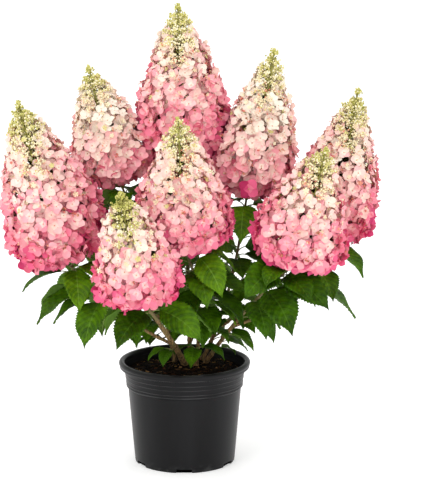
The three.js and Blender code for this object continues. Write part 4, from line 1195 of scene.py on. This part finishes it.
def clear_of_others(points, cane):
    """Which points lie in no other flower head and not on a leaf."""
    free = np.ones(len(points), bool)
    for other in canes.values():
        if other is not cane:
            free &= ~inside_head(points, other, OTHER_HEAD_GAP)
    near = taken_points[np.linalg.norm(taken_points - (cane.base + cane.tip) / 2, axis=1) < cane.length]
    if len(near):
        free &= np.linalg.norm(points[:, None] - near, axis=2).min(1) > BLADE_GAP
    return free


core_stick = stick(8, 12)
for seed, (name, cane) in enumerate(canes.items(), 1):
    head = Head(cane, seed)
    head.open_layers()
    head.budding_tip()
    head.low_tufts()
    head.stars()
    if name == "upper_right":
        head.lone_floret()
    head.joined()


# The plant stands on a plain pale floor in soft studio light: a wide key from the upper left, a weaker
# fill from the front, a panel behind and an even white surround. The camera looks slightly down from the
# front.
floor_making = bmesh.new()
bmesh.ops.create_circle(floor_making, cap_ends=True, segments=96, radius=40)
floor_pale, place, shader = new_finish("floor_pale", Roughness=0.9, Specular_IOR_Level=0.1,
                                       Emission_Color=(1, 1, 1, 1), Emission_Strength=0.28)
feed(shader, Base_Color=place.grain(3, 2).blend((0.93, 0.93, 0.93, 1), (0.95, 0.95, 0.95, 1)))
floor = new_piece("floor", floor_making, [floor_pale])
floor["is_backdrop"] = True

world = bpy.data.worlds.new("surround")
bpy.context.scene.world = world
world.use_nodes = True
world.node_tree.nodes["Background"].inputs["Color"].default_value = (1, 1, 1, 1)
world.node_tree.nodes["Background"].inputs["Strength"].default_value = 1.12


def panel(name, spot, aim, wide, high, power):
    """A soft light, wide by high metres and hidden from the camera, that shines from a spot at an aim."""
    light = bpy.data.lights.new(name, "AREA")
    light.shape, light.size, light.size_y, light.energy = "RECTANGLE", wide, high, power
    lamp = bpy.data.objects.new(name, light)
    lamp.location = spot
    lamp.visible_camera = False
    lamp.rotation_euler = (Vector(aim) - Vector(spot)).to_track_quat("-Z", "Y").to_euler()
    bpy.context.scene.collection.objects.link(lamp)


panel("key_panel", (-1.5, -2.0, 2.3), (0, 0, 0.35), 1.4, 1.4, 18)
panel("fill_panel", (0.3, -3.6, 0.75), (0, 0, 0.4), 1.6, 1.0, 9)
panel("back_panel", (0.3, 2.4, 2.2), (0, 0, 0.4), 1.8, 1.2, 10)

CAMERA_AT, CAMERA_DOWN, FOCAL_PIXELS, FRAME_HEIGHT, SENSOR = (0.051, -3.2, 1.004), 11.47, 2066, 486, 36
camera_data = bpy.data.cameras.new("camera")
camera_data.lens, camera_data.sensor_width = FOCAL_PIXELS / FRAME_HEIGHT * SENSOR, SENSOR
camera = bpy.data.objects.new("camera", camera_data)
camera.location = CAMERA_AT
camera.rotation_euler = (math.radians(90 - CAMERA_DOWN), 0, 0)
bpy.context.scene.collection.objects.link(camera)
bpy.context.scene.camera = camera
bpy.context.scene.view_settings.view_transform = "Standard"

low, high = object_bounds()
